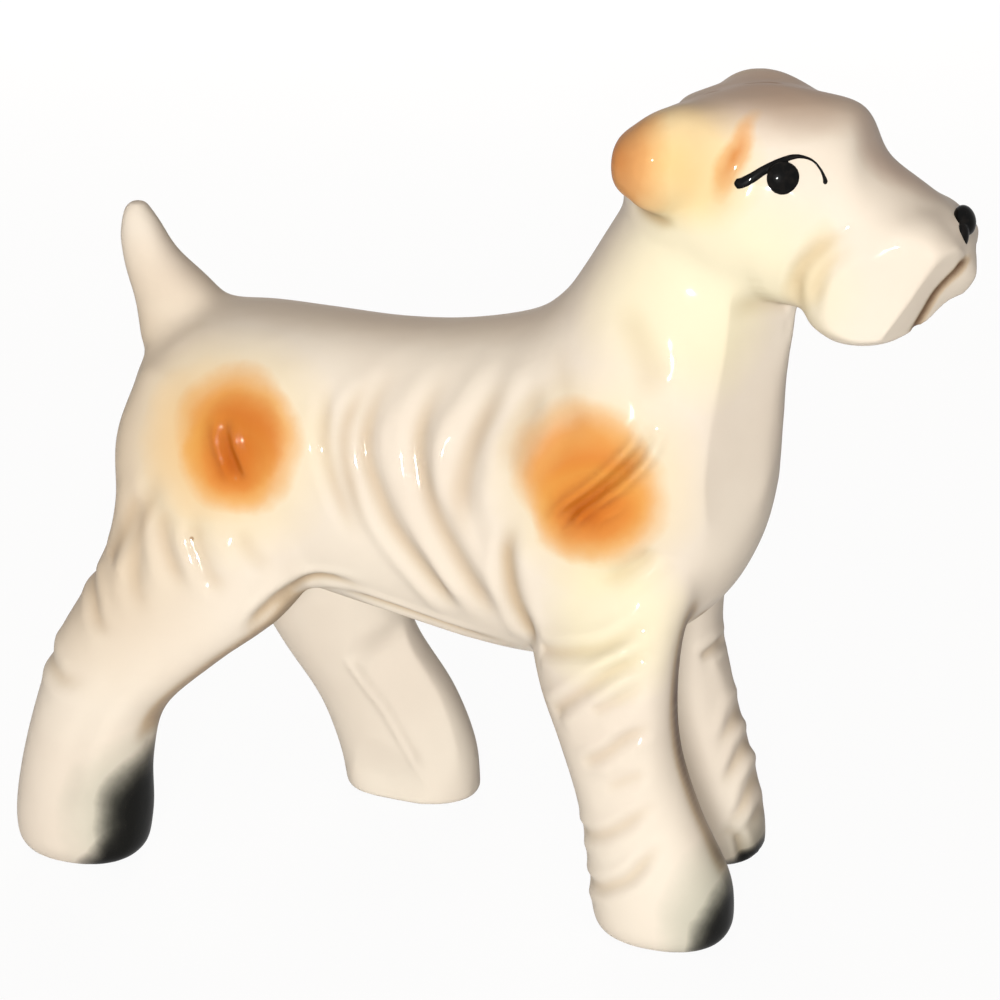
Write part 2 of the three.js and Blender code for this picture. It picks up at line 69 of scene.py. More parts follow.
BACK = 92.6
BELLY = 43.5
RUMP_X = -64.6
RUMP_HALF = 18.6
WAIST_HALF = 17.4
CHEST_HALF = 19.6
NECK_HALF = 12.6
BREAST_X = 43.8
SKULL = 134.0
SKULL_HALF = 14.6
MUZZLE_HALF = 7.4
NOSE_X = 70.7
NOSE_Z = 113.0
BEARD_Z = 98.8
BEARD_Y = 6.8
EAR_Y = 14.6
EAR_STAGGER = 2.8  # how far the left ear's joint lies forward of the right one's
EAR_FORWARD = 1.8  # how far its leaf lies forward beyond that
EAR_LOW = 2.0  # how far the right ear's top droops
FRONT_STANCE = 15.2
HIND_STANCE = 20.8
TAIL_HALF = 4.2
TAIL_TIP = (-65.4, 107.2)
ROUNDNESS = 2.25

RIGHT = -1
LEFT = 1


class Slot(Enum):
    """The record's material slots."""

    CREAM = "cream_glaze"
    AMBER = "amber_glaze"
    BLACK = "black_enamel"


def to_metres(x: float, y: float, z: float) -> Vector:
    """A point of the modeller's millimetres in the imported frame.

    Args:
        x: Millimetres towards the nose.
        y: Millimetres to the dog's left.
        z: Millimetres above the shelf.

    Returns:
        The same point in metres.
    """
    return (Vector((x, y, z)) + TO_FRAME) * MM


def smoothstep(low: float, high: float, value: np.ndarray) -> np.ndarray:
    """A soft step from 0 at `low` to 1 at `high`."""
    t = np.clip((value - low) / (high - low), 0.0, 1.0)
    return t * t * (3.0 - 2.0 * t)


def flowing(points: np.ndarray, place: float) -> np.ndarray:
    """Reads a smooth curve through a row of points.

    Args:
        points: The points, one to a row.
        place: Where to read it; 1.5 is midway from the second to the third.

    Returns:
        The point of the curve there.
    """
    last = len(points) - 1
    place = min(max(place, 0.0), float(last))
    i = min(int(place), last - 1)
    t = place - i
    before = points[i - 1] if i else 2 * points[0] - points[1]
    after = points[i + 2] if i + 2 <= last else 2 * points[-1] - points[-2]
    here, there = points[i], points[i + 1]
    leaving, arriving = (there - before) / 2, (after - here) / 2
    rise = t * t * (3 - 2 * t)
    return here * (1 - rise) + there * rise + leaving * t * (1 - t) ** 2 - arriving * t * t * (1 - t)


def rows_of(items: object, name: str, width: int = 3, kind: type = float) -> np.ndarray:
    """Reads one property of a mesh's points, edges, corners or faces.

    Args:
        items: The mesh's list of them.
        name: The property.
        width: How many numbers it has.
        kind: What kind of numbers they are.

    Returns:
        A row for each item, or just its number where there is only one.
    """
    flat = np.empty(len(items) * width, kind)
    items.foreach_get(name, flat)
    return flat.reshape(-1, width) if width > 1 else flat


def first_ring(work: bmesh.types.BMesh, around: int) -> tuple[list, list]:
    """Starts a tube: the points and the edges of its first ring."""
    ring = bmesh.ops.create_circle(work, segments=around, radius=1.0)["verts"]
    return ring, list({edge for vert in ring for edge in vert.link_edges})


def next_ring(work: bmesh.types.BMesh, edges: list) -> tuple[list, list]:
    """Draws a tube on from the edges of its last ring: the points and the edges of the next."""
    grown = bmesh.ops.extrude_edge_only(work, edges=edges)["geom"]
    ring = [g for g in grown if isinstance(g, bmesh.types.BMVert)]
    fresh = set(ring)
    found = [g for g in grown if isinstance(g, bmesh.types.BMEdge)]
    return ring, [e for e in found if e.verts[0] in fresh and e.verts[1] in fresh]


def into_frame(work: bmesh.types.BMesh) -> None:
    """Moves finished work from the modeller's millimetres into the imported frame."""
    bmesh.ops.translate(work, verts=work.verts, vec=TO_FRAME)
    bmesh.ops.scale(work, verts=work.verts, vec=(MM, MM, MM))


def finished(work: bmesh.types.BMesh, name: str) -> bpy.types.Mesh:
    """Turns what was worked on into a mesh."""
    mesh = bpy.data.meshes.new(name)
    work.to_mesh(mesh)
    work.free()
    return mesh


def placed(data: bpy.types.ID, name: str) -> bpy.types.Object:
    """Puts a finished mesh, a lamp or a camera in the scene."""
    made = bpy.data.objects.new(name, data)
    bpy.context.scene.collection.objects.link(made)
    return made


@dataclass(frozen=True)
class Mass:
    """A mass of clay lofted through its sections, with domed ends or a flat sole.

    A section says where the side view crosses it in front (X and Z) and behind (X and Z), its
    half width and, where its middle isn't at 0, how far to the left that is.
    """

    sections: tuple[tuple[float, ...], ...]
    start: float = 2.0
    end: float = 2.0
    sole: float = 0.0
    around: int = 64
    pitch: float = 1.3

    def read(self, place: float) -> tuple[np.ndarray, np.ndarray, float]:
        """The front point, the back point and the half width at a place along the mass."""
        rows = np.array([(*section, 0.0)[:6] for section in self.sections])
        x, z, back_x, back_z, half, y = flowing(rows, place)
        return np.array((x, y, z)), np.array((back_x, y, back_z)), float(half)

    def places(self) -> list[float]:
        """Evenly spaced places for the rings."""
        found = []
        for i in range(len(self.sections) - 1):
            (front, back, _), (front_on, back_on, _) = self.read(i), self.read(i + 1)
            span = (np.linalg.norm(front_on - front) + np.linalg.norm(back_on - back)) / 2
            count = max(2, round(span / self.pitch))
            found += [i + k / count for k in range(count)]
        return found + [float(len(self.sections) - 1)]

    def loft(self) -> bpy.types.Mesh:
        """Lofts the closed mass ring by ring.

        Returns:
            Its mesh, in millimetres.
        """
        clay = bmesh.new()
        turn = clay.verts.layers.float.new("turn")
        places = self.places()
        rings = [(place, 1.0, np.zeros(3)) for place in places]
        rings = self.domed(places[0], places[1], self.start)[::-1] + rings
        rings += self.footed() if self.sole else self.domed(places[-1], places[-2], self.end)
        ring, edges = first_ring(clay, self.around)
        first = edges
        for j, vert in enumerate(ring):
            vert[turn] = 2 * math.pi * j / self.around
        self.move(ring, turn, rings[0])
        for station in rings[1:]:
            ring, edges = next_ring(clay, edges)
            self.move(ring, turn, station)
        bmesh.ops.holes_fill(clay, edges=first + edges, sides=0)
        bmesh.ops.recalc_face_normals(clay, faces=clay.faces)
        clay.verts.layers.float.remove(turn)
        return finished(clay, "mass")

    def move(self, ring: list, turn: object, station: tuple[float, float, np.ndarray]) -> None:
        """Moves a ring's points to their station: a place, a share of its size and a shift."""
        place, share, shift = station
        front, back, half = self.read(place)
        middle, reach = (front + back) / 2 + shift, (front - back) / 2
        turns = np.array([vert[turn] for vert in ring])
        power = 2.0 / ROUNDNESS
        along = np.sign(np.cos(turns)) * np.abs(np.cos(turns)) ** power * share
        across = np.sign(np.sin(turns)) * np.abs(np.sin(turns)) ** power * share * half
        points = middle + along[:, None] * reach + across[:, None] * np.array((0.0, 1.0, 0.0))
        if self.sole and share < 1.0 and place > 0:
            points[:, 2] = shift[2]
        for vert, point in zip(ring, points):
            vert.co = point

    def domed(self, place: float, inner: float, reach: float) -> list:
        """Stations that round an end off past its last section."""
        front, back, _ = self.read(place)
        front_in, back_in, _ = self.read(inner)
        outward = (front + back - front_in - back_in) / 2
        outward /= np.linalg.norm(outward)
        turns = [k / 6 * math.pi / 2 for k in range(1, 6)]
        return [(place, math.cos(turn), outward * reach * math.sin(turn)) for turn in turns]

    def footed(self) -> list:
        """Stations of a foot's rounded edge, down to its flat sole."""
        place = float(len(self.sections) - 1)
        front, back, half = self.read(place)
        width = (np.linalg.norm(front - back) / 2 + half) / 2
        made = []
        for k in range(1, 7):
            turn = k / 6 * math.pi / 2
            share = 1 - self.sole * (1 - math.cos(turn)) / width
            height = max(self.sole * (1 - math.sin(turn)), 1e-6)
            made.append((place, share, np.array((0.0, 0.0, height))))
        return made


def trunk_mass() -> Mass:
    """The trunk and neck, from the rump along the back and up."""
    return Mass((
        (RUMP_X + 6, BACK - 4.2, RUMP_X, BACK - 18, 9.5),
        (RUMP_X + 12.5, BACK - 0.6, RUMP_X + 5.5, BACK - 31, 15.5),
        (-45, BACK + 0.4, -46, BELLY + 8, RUMP_HALF),
        (-33, BACK + 0.2, -31, BELLY + 3, RUMP_HALF),
        (-20, BACK, -10, BELLY - 1.2, WAIST_HALF),
        (-8, BACK + 0.9, 4, BELLY - 3.2, WAIST_HALF + 0.8),
        (3.5, BACK + 3.6, 17, BELLY - 1.8, CHEST_HALF),
        (9.5, BACK + 7.8, 32.5, BELLY + 6, CHEST_HALF),
        (13, BACK + 12.6, BREAST_X - 2.8, 61.5, CHEST_HALF - 1.2),
        (16, BACK + 17.6, BREAST_X, 75.5, NECK_HALF + 3.4),
        (19, BACK + 22.6, BREAST_X + 0.9, 89, NECK_HALF + 1),
        (22, BACK + 27.6, BREAST_X + 2, 100, NECK_HALF - 0.6),
    ), start=1.6)


def head_masses() -> list[Mass]:
    """The skull and muzzle, the chin, the beard lobes and the crown on both sides of the skull."""
    made = [
        Mass((
            (22, SKULL - 10, 22, 112, 8),
            (28, SKULL - 3.5, 27, 104, 12.5),
            (38, SKULL, 37, 101, SKULL_HALF),
            (48, SKULL - 0.9, 46, 101, SKULL_HALF - 0.6),
            (54.4, SKULL - 2.6, 52, 101.5, 12),
            (57.3, SKULL - 8.8, 57, 102, MUZZLE_HALF + 4.4),
            (63.2, SKULL - 12.9, 62.5, 103, MUZZLE_HALF + 2.8),
            (68, SKULL - 16, 68, 105, MUZZLE_HALF + 0.2),
            (NOSE_X - 0.2, NOSE_Z + 3.5, NOSE_X, NOSE_Z - 4.5, MUZZLE_HALF - 1.9),
        ), start=3, end=1.1),
        Mass((
            (NOSE_X + 1.7, NOSE_Z - 1, 60, NOSE_Z - 1, 5.2),
            (NOSE_X + 1.7, NOSE_Z - 6.4, 60, NOSE_Z - 8.8, 5.4),
        ), end=1.6),
    ]
    for side in (RIGHT, LEFT):
        made.append(Mass((
            (68.2, 117, 54, 115, 6.2, side * (BEARD_Y - 1.4)),
            (72.0, 112.5, 50.6, 110, 7.2, side * (BEARD_Y - 0.6)),
            (70.9, BEARD_Z + 7, 48.6, BEARD_Z + 5.7, 7.2, side * BEARD_Y),
            (67.2, BEARD_Z + 2.6, 49.6, BEARD_Z + 2, 6.6, side * (BEARD_Y + 0.1)),
            (62.6, BEARD_Z + 0.5, 52.4, BEARD_Z + 0.4, 5.0, side * BEARD_Y),
        ), end=1.4))
    for side in (RIGHT, LEFT):
        made.append(Mass((
            (26, 130.5, 26, 118, 7.0, side * 6.0), (34, 133.4, 34, 116, 9.0, side * 5.6),
            (42, 133.4, 41, 116, 8.6, side * 5.2), (48, 131.0, 47, 118, 6.5, side * 5.0),
        )))
    return made


def ear_mass(side: int) -> Mass:
    """A folded ear, from its fold back to its rounded rear edge; the right one hangs lower."""
    x, low = (EAR_STAGGER + EAR_FORWARD, 0.0) if side == LEFT else (0.0, EAR_LOW)
    return Mass((
        (x + 41, 132.9 - 1.25 * low, x + 38.5, 119, 4.4, side * (EAR_Y - 6.2)),
        (x + 34, 134.9 - low, x + 31.5, 116.4, 6.6, side * (EAR_Y - 3.7)),
        (x + 27.4, 133.5 - low, x + 27, 116.4, 7.0, side * (EAR_Y - 2.4)),
        (x + 22.9, 129.4 - low / 2, x + 22.8, 118.8, 5.4, side * (EAR_Y - 2.2)),
    ))


def tail_mass() -> Mass:
    """The docked tail, from inside the rump to its tip."""
    tip_x, tip_z = TAIL_TIP
    return Mass((
        (-48, BACK - 2.5, RUMP_X, BACK - 8, TAIL_HALF + 3.5),
        (-53.4, 95.8, -65.8, BACK - 1, TAIL_HALF + 1.4),
        (-59, 100.6, -67.6, 96.8, TAIL_HALF),
        (-61.6, 104.8, -68.6, 102.4, TAIL_HALF - 0.9),
        (tip_x + 2, tip_z, tip_x - 2.6, tip_z - 1, TAIL_HALF - 1.6),
    ))


def leg_masses() -> dict[str, Mass]:
    """The four legs, each from inside the shoulder or hip down to its sole."""
    front, hind = FRONT_STANCE, HIND_STANCE
    return {
        "front_leg_right": Mass((
            (35, 70, 9, 62, 8, -9), (35.8, 61, 7.8, 49.5, 9, -10.4),
            (33.4, 52, 10.2, 40.5, 8.6, -13), (32.8, 43, 14.2, 31.5, 7.8, -front + 0.6),
            (33.5, 32.5, 17.4, 22, 7.5, -front + 0.4), (37.1, 21.5, 19.1, 13, 8, -front + 0.4),
            (42.2, 11, 19.8, 6.5, 8.8, -front + 0.4), (43, 4, 20.2, 4, 8.8, -front + 0.4),
        ), sole=4.0),
        "front_leg_left": Mass((
            (34, 70, 9, 62, 8, 9), (34, 60, 8, 50, 9, 10.8), (32.2, 51, 9.4, 41, 8.6, 12.8),
            (31, 41.5, 12.2, 32, 7.9, front - 0.2), (32.6, 31.5, 15.4, 23, 7.6, front + 1),
            (35.6, 21, 18, 13.5, 7.9, front + 1.4), (38.7, 9.5, 19.4, 6, 8.4, front + 1.4),
            (39.3, 3, 20, 3, 8.3, front + 1.4),
        ), sole=3.0),
        "hind_leg_right": Mass((
            (-35, 80, -60.5, 84, 8, -8), (-30, 67, -64.9, 72, 10.2, -9.6),
            (-29, 55, -64.6, 58.5, 10.4, -11.8), (-34.8, 44.4, -69, 47.5, 9.7, -14),
            (-44.6, 36.4, -74, 38, 8.7, -hind + 4), (-54.6, 27, -77.4, 27.5, 8, -hind + 2.2),
            (-57.2, 17.5, -80, 17, 8.4, -hind + 1), (-57.2, 9, -81.2, 8.6, 9, -hind + 0.2),
            (-57.8, 4.2, -81, 4.2, 9, -hind - 0.2),
        ), sole=4.2),
        "hind_leg_left": Mass((
            (-31, 79, -54, 81, 8, 7), (-27.5, 65, -60, 67, 10.2, 9.5),
            (-27, 53, -58.5, 53, 10.4, 12), (-26.8, 42, -54.5, 40.5, 9.6, 15),
            (-25, 31, -49.6, 28, 8.8, hind - 2.5), (-19, 20, -43.8, 17, 8.2, hind),
            (-15.4, 9.5, -40.6, 7.5, 8.4, hind + 1.2), (-14.6, 1.2, -39.2, 1.2, 8.6, hind + 1.2),
        ), sole=1.2),
    }


@dataclass(frozen=True)
class Fold:
    """A line worked into the coat's side: a valley with soft rises along both of its banks.

    Its points are seen from the side, as X and Z. A negative depth raises a ridge.
    """

    points: tuple[tuple[float, float], ...]
    depth: float
    width: float = 1.3
    swell: float = 0.45
    side: int = RIGHT
    inner: float = 2.0  # nearest and furthest Y that it reaches, counted outwards on its side
    outer: float = 40.0
    crosses: bool = False  # true for a line on the face that looks to the other side
    ends: tuple[float, float] = (0.3, 0.3)  # share of the length over which each end dies away
    wrap: float = 0.0  # how far it goes on round the edge of its side, where the skin turns away
    ink: float = 1.0  # how dark the pooled glaze and painted shade in it are


# The folds of the coat, as the dog's right side shows them.
FLANK_FOLDS = (
    Fold(((-25.7, 86), (-25.1, 81.6), (-24.8, 76.9), (-23.3, 71.1), (-21.3, 65.3), (-19.5, 60.1)),
        0.75),
    Fold(((-17.7, 87.3), (-20.5, 82.6), (-21.5, 78.3), (-21.1, 73.6), (-19.6, 67.8), (-17.1, 59)),
        0.85),
    Fold(((-13.9, 88.7), (-16.7, 84.6), (-18, 79.7), (-17.8, 75), (-16, 69.9), (-13.4, 64.2),
        (-9.7, 58.9), (-6.4, 54.2), (-3.4, 49.8)), 1.05, 1.5, 0.65, ends=(0.3, 0.12)),
    Fold(((-4.9, 89.6), (-7.6, 85), (-9, 80.2), (-8.8, 75.5), (-7.1, 70.3), (-5, 65.2), (-2, 59.6),
        (1, 54), (3.4, 49.4)), 1.0, 1.7, 0.7, ends=(0.3, 0.15)),
    Fold(((5.9, 90.5), (2.9, 85.3), (0.3, 79.2), (-1, 74.4), (-1.4, 69.6), (-0.9, 62)),
        0.85, 2.1, 0.8),
    Fold(((12.8, 91.3), (9.3, 85.5), (7, 80.1), (6.1, 74)), 0.7, 2.2, 0.7),
    Fold(((8, 69), (6.5, 63.5), (6.5, 58.1), (7.4, 52.8), (9.4, 46.4)), 1.1, 1.4, ends=(0.35, 0.1),
        ink=1.4),
    Fold(((-25.9, 50.6), (-16.2, 48.2), (-7.5, 46), (4.6, 43.9)), 0.8, 0.7, 0.6, wrap=0.4, ink=2.0),
)
SHOULDER_FOLDS = (
    Fold(((13.9, 66.7), (16.8, 70.6), (20.8, 74), (24.7, 77.9), (27.8, 81.7), (29.6, 86.4)),
        1.45, 0.8, 1.1),
    Fold(((19.1, 68), (20.5, 71.1), (23.1, 73.1), (25.6, 75.4)), 0.75, 0.7, 1.0),
    Fold(((29.8, 66.3), (28.4, 64.5), (25, 61.7), (20.4, 59.3)), 0.7, 1.3, 0.6),
    Fold(((29.7, 88.9), (27, 96), (22, 104)), 0.5, 2.4, 0.4),
    Fold(((12, 96), (15.5, 88), (19, 82)), 0.35, 2.2, 0.4),
)
HIP_FOLDS = (
    Fold(((-41.6, 79.6), (-40.7, 74.6), (-39.5, 71.7), (-38.3, 68.4)), 1.1, 0.8, 0.9),
    Fold(((-52.5, 70), (-54.5, 64), (-56.9, 57), (-56.6, 50), (-53.5, 45)), 0.6, 1.7, 0.6),
    Fold(((-50.8, 65), (-51.7, 60), (-50.1, 55.1), (-46.8, 49.8)), 0.65, 1.5, 0.6),
    Fold(((-45.7, 64.9), (-45.5, 59.1), (-43, 53.4), (-40, 50.6)), 0.55, 1.5, 0.6),
    Fold(((-38.4, 62), (-36.4, 57.5), (-33, 54)), 0.4, 1.5, 0.6),
    Fold(((-56.3, 66), (-59.3, 59.4), (-63.3, 52.6)), 0.7, 1.6, 0.6, ends=(0.3, 0.05), wrap=0.5),
    Fold(((-68.2, 49.6), (-65.7, 46.5), (-63.6, 43.3), (-60, 41.2)),
        0.6, 1.2, 0.6, ends=(0.05, 0.4), wrap=0.5),
    Fold(((-75.6, 36), (-73.4, 34.3), (-69.7, 32.6), (-63.9, 33.2)),
        0.6, 1.4, 0.6, ends=(0.05, 0.4), wrap=0.5),
)
NEAR_LEG_FOLDS = (
    Fold(((11.6, 47.2), (13.7, 47.4), (17.9, 48.5), (22.2, 49.8), (26.1, 52.1), (31.6, 56.4)),
        0.75, 1.1, 0.6, ends=(0.05, 0.3), wrap=0.4),
    Fold(((14.4, 37.2), (16.6, 39.7), (21.8, 44.3), (24.8, 46.8), (27.3, 48.3), (31.5, 50.9)),
        0.75, 1.1, 0.6, ends=(0.1, 0.3), wrap=0.4),
    Fold(((21.4, 39.8), (22.9, 40.5), (25.9, 42.3), (30.3, 45.6)), 0.5, 1.1, 0.6),
    Fold(((19.6, 30.2), (21.8, 31.7), (24.4, 33.5), (27, 35.9), (31.2, 38.8)),
        0.7, 1.0, 0.6, ends=(0.3, 0.2)),
    Fold(((23.8, 26.9), (27.1, 29), (30.7, 31)), 0.4, 1.0, 0.6),
    Fold(((18.6, 17.6), (22.2, 18.5), (25.7, 20.5), (28.7, 22.9), (32.8, 26.6)),
        0.65, 1.0, 0.6, ends=(0.05, 0.3), wrap=0.4),
    Fold(((19.6, 9.2), (22.9, 9.6), (26, 11.3), (28.6, 13.2), (31.2, 16.6), (33.8, 19.8)),
        0.75, 1.0, 0.6, ends=(0.05, 0.3), wrap=0.4),
)
FACE_FOLDS = (
    Fold(((41.4, 130), (40.2, 126.8), (38.6, 122.6), (36.9, 118.5), (35.4, 114.5)),
        0.5, 1.6, 0.2, ends=(0.35, 0.4)),
    Fold(((57.4, 117.3), (52.7, 113.5), (49.6, 110.3), (48.5, 107), (48.4, 102.5)), 0.75, 1.1, 0.5),
    Fold(((57.6, 114.2), (53.8, 111.0), (51.9, 107.2), (51.6, 102.8)), 0.45, 0.9, 0.6),
    # the mouth line: a thin groove, darkened with painted shade
    Fold(((64.9, 100.2), (66.0, 102.4), (66.9, 104.2), (67.9, 106.2), (69.2, 108.0), (70.8, 109.9),
        (71.8, 111.8)), 0.75, 0.34, 0.0, inner=0.6, outer=11.0, ends=(0.02, 0.12),
        wrap=1.0, ink=9.0),
    Fold(((38, 102.8), (42, 102.4), (46.5, 101.4), (50.5, 100.6)), 0.6, 1.6, 0.3),
    Fold(((22.6, 119), (24.4, 116.4), (27.6, 115.2), (31.5, 115.4)),
        0.8, 1.1, 0.25, wrap=0.3, ink=1.8),
)
EDGE_FOLDS = (
    Fold(((-38.6, 42.6), (-36, 46.6), (-31.5, 50.8), (-25.9, 52.6), (-19, 51.4)),
        0.8, 0.8, 0.6, wrap=0.7, ink=2.0),
    Fold(((-50.2, 38.9), (-58.9, 28.8), (-62.4, 22.7), (-64.3, 15.3), (-67.4, 6.3)),
        -0.5, 1.9, 0.5),
    Fold(((32.9, 56), (31.1, 47.8), (30.4, 38.8), (30.8, 29.9), (32.3, 20)), -0.45, 1.9, 0.5),
)
# Painted shade: faint dark lines along the edges of the near legs where they turn away, drawn as very
# shallow folds that are darkened hard.
RIM_SHADE_FOLDS = (
    Fold(((37, 60), (34, 53), (33, 46), (32.8, 40.2), (33.6, 32.3), (36.4, 24.2), (40, 16.4),
        (42, 11)), 0.12, 0.7, 0.0, ends=(0.1, 0.15), ink=34.0, inner=3.0, crosses=True, wrap=0.35),
    Fold(((-31, 50.4), (-34.6, 45), (-44.4, 36.8), (-54.2, 27.6), (-56.8, 21)),
        0.12, 1.7, 0.0, ends=(0.1, 0.2), ink=17.0, inner=3.0, crosses=True, wrap=0.75),
)
# The ropes of hair on the far front leg.
FAR_ROPES = (
    ((29.4, 37.2), (31.6, 38.8), (33.4, 40.6)),
    ((32.3, 36.6), (33.6, 33.2), (34.4, 29.4), (33.9, 24.7), (32.4, 21.4)),
    ((34, 31.6), (35.7, 27.6), (36, 22.6), (35, 18.1), (33.2, 14.6)),
    ((35.8, 26.4), (37.5, 21.6), (37.6, 16.6), (36.8, 11.1), (34.6, 8)),
    ((37.3, 21.8), (38.9, 15.4), (38.9, 10), (37.8, 6.2)),
)


def far_folds() -> list[Fold]:
    """The folds of the two left legs, on the faces that look to the right."""
    inner_face = {"side": LEFT, "inner": 3.0, "outer": 26.0, "crosses": True}
    return [
        *(Fold(rope, 0.9, 0.8, 0.6, ends=(0.1, 0.35), wrap=0.5, **inner_face) for rope in FAR_ROPES),
        Fold(((-34.6, 28.6), (-31.5, 22.8), (-28.5, 18.2), (-25.6, 12.6), (-22.1, 6.2)),
            -1.0, 0.8, 0.0, ends=(0.1, 0.12), **inner_face),
        Fold(((36.4, 6.6), (36.9, 4.4), (37.2, 1.6)), 0.9, 0.6, 0.5, ends=(0.1, 0.02),
            wrap=0.6, **inner_face),
        Fold(((33.8, 7.4), (35.6, 7.2), (36.9, 5.4)), 0.4, 0.7, 0.5, wrap=0.6, **inner_face),
    ]


def coat_folds() -> list[Fold]:
    """Every fold; those of the right side are repeated on the left, but for its legs."""
    body = [*FLANK_FOLDS, *SHOULDER_FOLDS, *HIP_FOLDS]
    face = [*FACE_FOLDS, *EDGE_FOLDS]
    left = [replace(fold, side=LEFT) for fold in [*body, *face]]
    return [*body, *NEAR_LEG_FOLDS, *face, *RIM_SHADE_FOLDS, *left, *far_folds()]


@dataclass(frozen=True)
class Mark:
    """A place on the clay that is worked in some way."""

    centre: Point

    def mirrored(self) -> "Mark":
        """The same on the dog's other side."""
        x, y, z = self.centre
        return replace(self, centre=(x, -y, z))


@dataclass(frozen=True)
class Swell(Mark):
    """A soft mound, or with a negative height a hollow, pressed into the surface."""

    radii: Point
    height: float


@dataclass(frozen=True)
class Facet(Mark):
    """A flat that was patted onto the clay: what stands out past its plane is pressed back."""

    facing: Point
    radius: float

    def mirrored(self) -> "Facet":
        """The same on the dog's other side."""
        x, y, z = self.facing
        return replace(super().mirrored(), facing=(x, -y, z))


@dataclass(frozen=True)
class Blend(Mark):
    """A place where the clay is drawn together, and over how many millimetres."""

    radius: float
    spread: float

    def hold(self, points: np.ndarray, core: float) -> np.ndarray:
        """1 over the core of the place, which is a share of its radius, and 0 beyond the radius."""
        away = np.linalg.norm(points - np.array(self.centre), axis=1) / self.radius
        return 1 - smoothstep(core, 1.0, away)


def on_both_sides(*marks: Mark) -> tuple[Mark, ...]:
    """Marks of the dog's right side, and then the same on its left."""
    return (*marks, *(mark.mirrored() for mark in marks))


# Mounds and hollows that fill out the masses.
SWELLS = on_both_sides(
    Swell((20.7, -19, 76), (13, 10, 13), 0.9),
    Swell((-39.5, -18, 75.5), (12, 10, 12), 0.9),
    Swell((46.2, -13.5, 122.6), (7.5, 6, 5), -0.35),
    Swell((50, -13, 128.6), (7, 6, 3), 0.45),
    Swell((54.3, -10, 103.7), (1.1, 3, 1.1), -0.2),
    Swell((59.5, -9, 108.5), (8, 6, 7), 0.5),
    Swell((27, -17, 124.5), (6, 6, 6), 0.3),
    Swell((70.6, -1.6, 108.2), (3.0, 3.6, 3.6), 0.38),
)
# The flats of the breast, the muzzle and the beard, and those of the hind legs.
FACETS = on_both_sides(
    Facet((39.6, -10.0, 80.0), (0.853, -0.521, 0.0), 32.0),
    Facet((60.0, -12.0, 108.0), (0.12, -0.99, 0.0), 26.0),
    Facet((64.5, -11.35, 105.2), (0.786, -0.432, -0.442), 20.0),
)
LEG_FACETS = (
    Facet((-29.0, 12.7, 15.0), (-0.06, -0.97, -0.215), 17.0),
    Facet((-23.5, 15.4, 19.0), (0.475, -0.873, 0.114), 17.0),
    Facet((-60.2, -26.0, 14.0), (0.62, -0.785, 0.0), 13.0),
    Facet((-56.9, -21.0, 14.0), (0.985, -0.17, 0.02), 11.0),
)
# Where the masses are drawn together, on both sides and in the middle.
BLENDS = on_both_sides(
    Blend((-48, -17, 70), 24, 4.0),
    Blend((22, -17, 60), 18, 3.5),
    Blend((-42, -10, 92), 14, 3.0),
    Blend((34, -8, 131), 20, 7.5),
    Blend((38, -15, 119), 10, 4.0),
    Blend((60, -9, 114), 14, 5.0),
    Blend((38, -10, 102), 9, 2.5),
)
MIDDLE_BLENDS = (
    Blend((-56, 0, 90), 13, 3.5),
    Blend((69, 0, 106), 6, 1.6),
)
# Where the clay is rubbed smooth with a wet finger after it is patted flat.
RUBS = on_both_sides(
    Blend((53.5, -12, 111), 10, 2.2),
    Blend((60, -10, 118), 8, 2.0),
    Blend((67, -8, 113.5), 5.5, 1.5),
    Blend((71, -2.5, 112.0), 5.0, 1.5),
    Blend((40, -9, 130), 11, 3.0),
    Blend((45, -5, 84), 14, 1.6),
    Blend((41, -8, 63), 11, 2.4),
)


def off_shelf(points: np.ndarray) -> np.ndarray:
    """0 for points on the shelf, easing to 1 for those 3 mm above it."""
    return smoothstep(0.3, 3.0, points[:, 2])


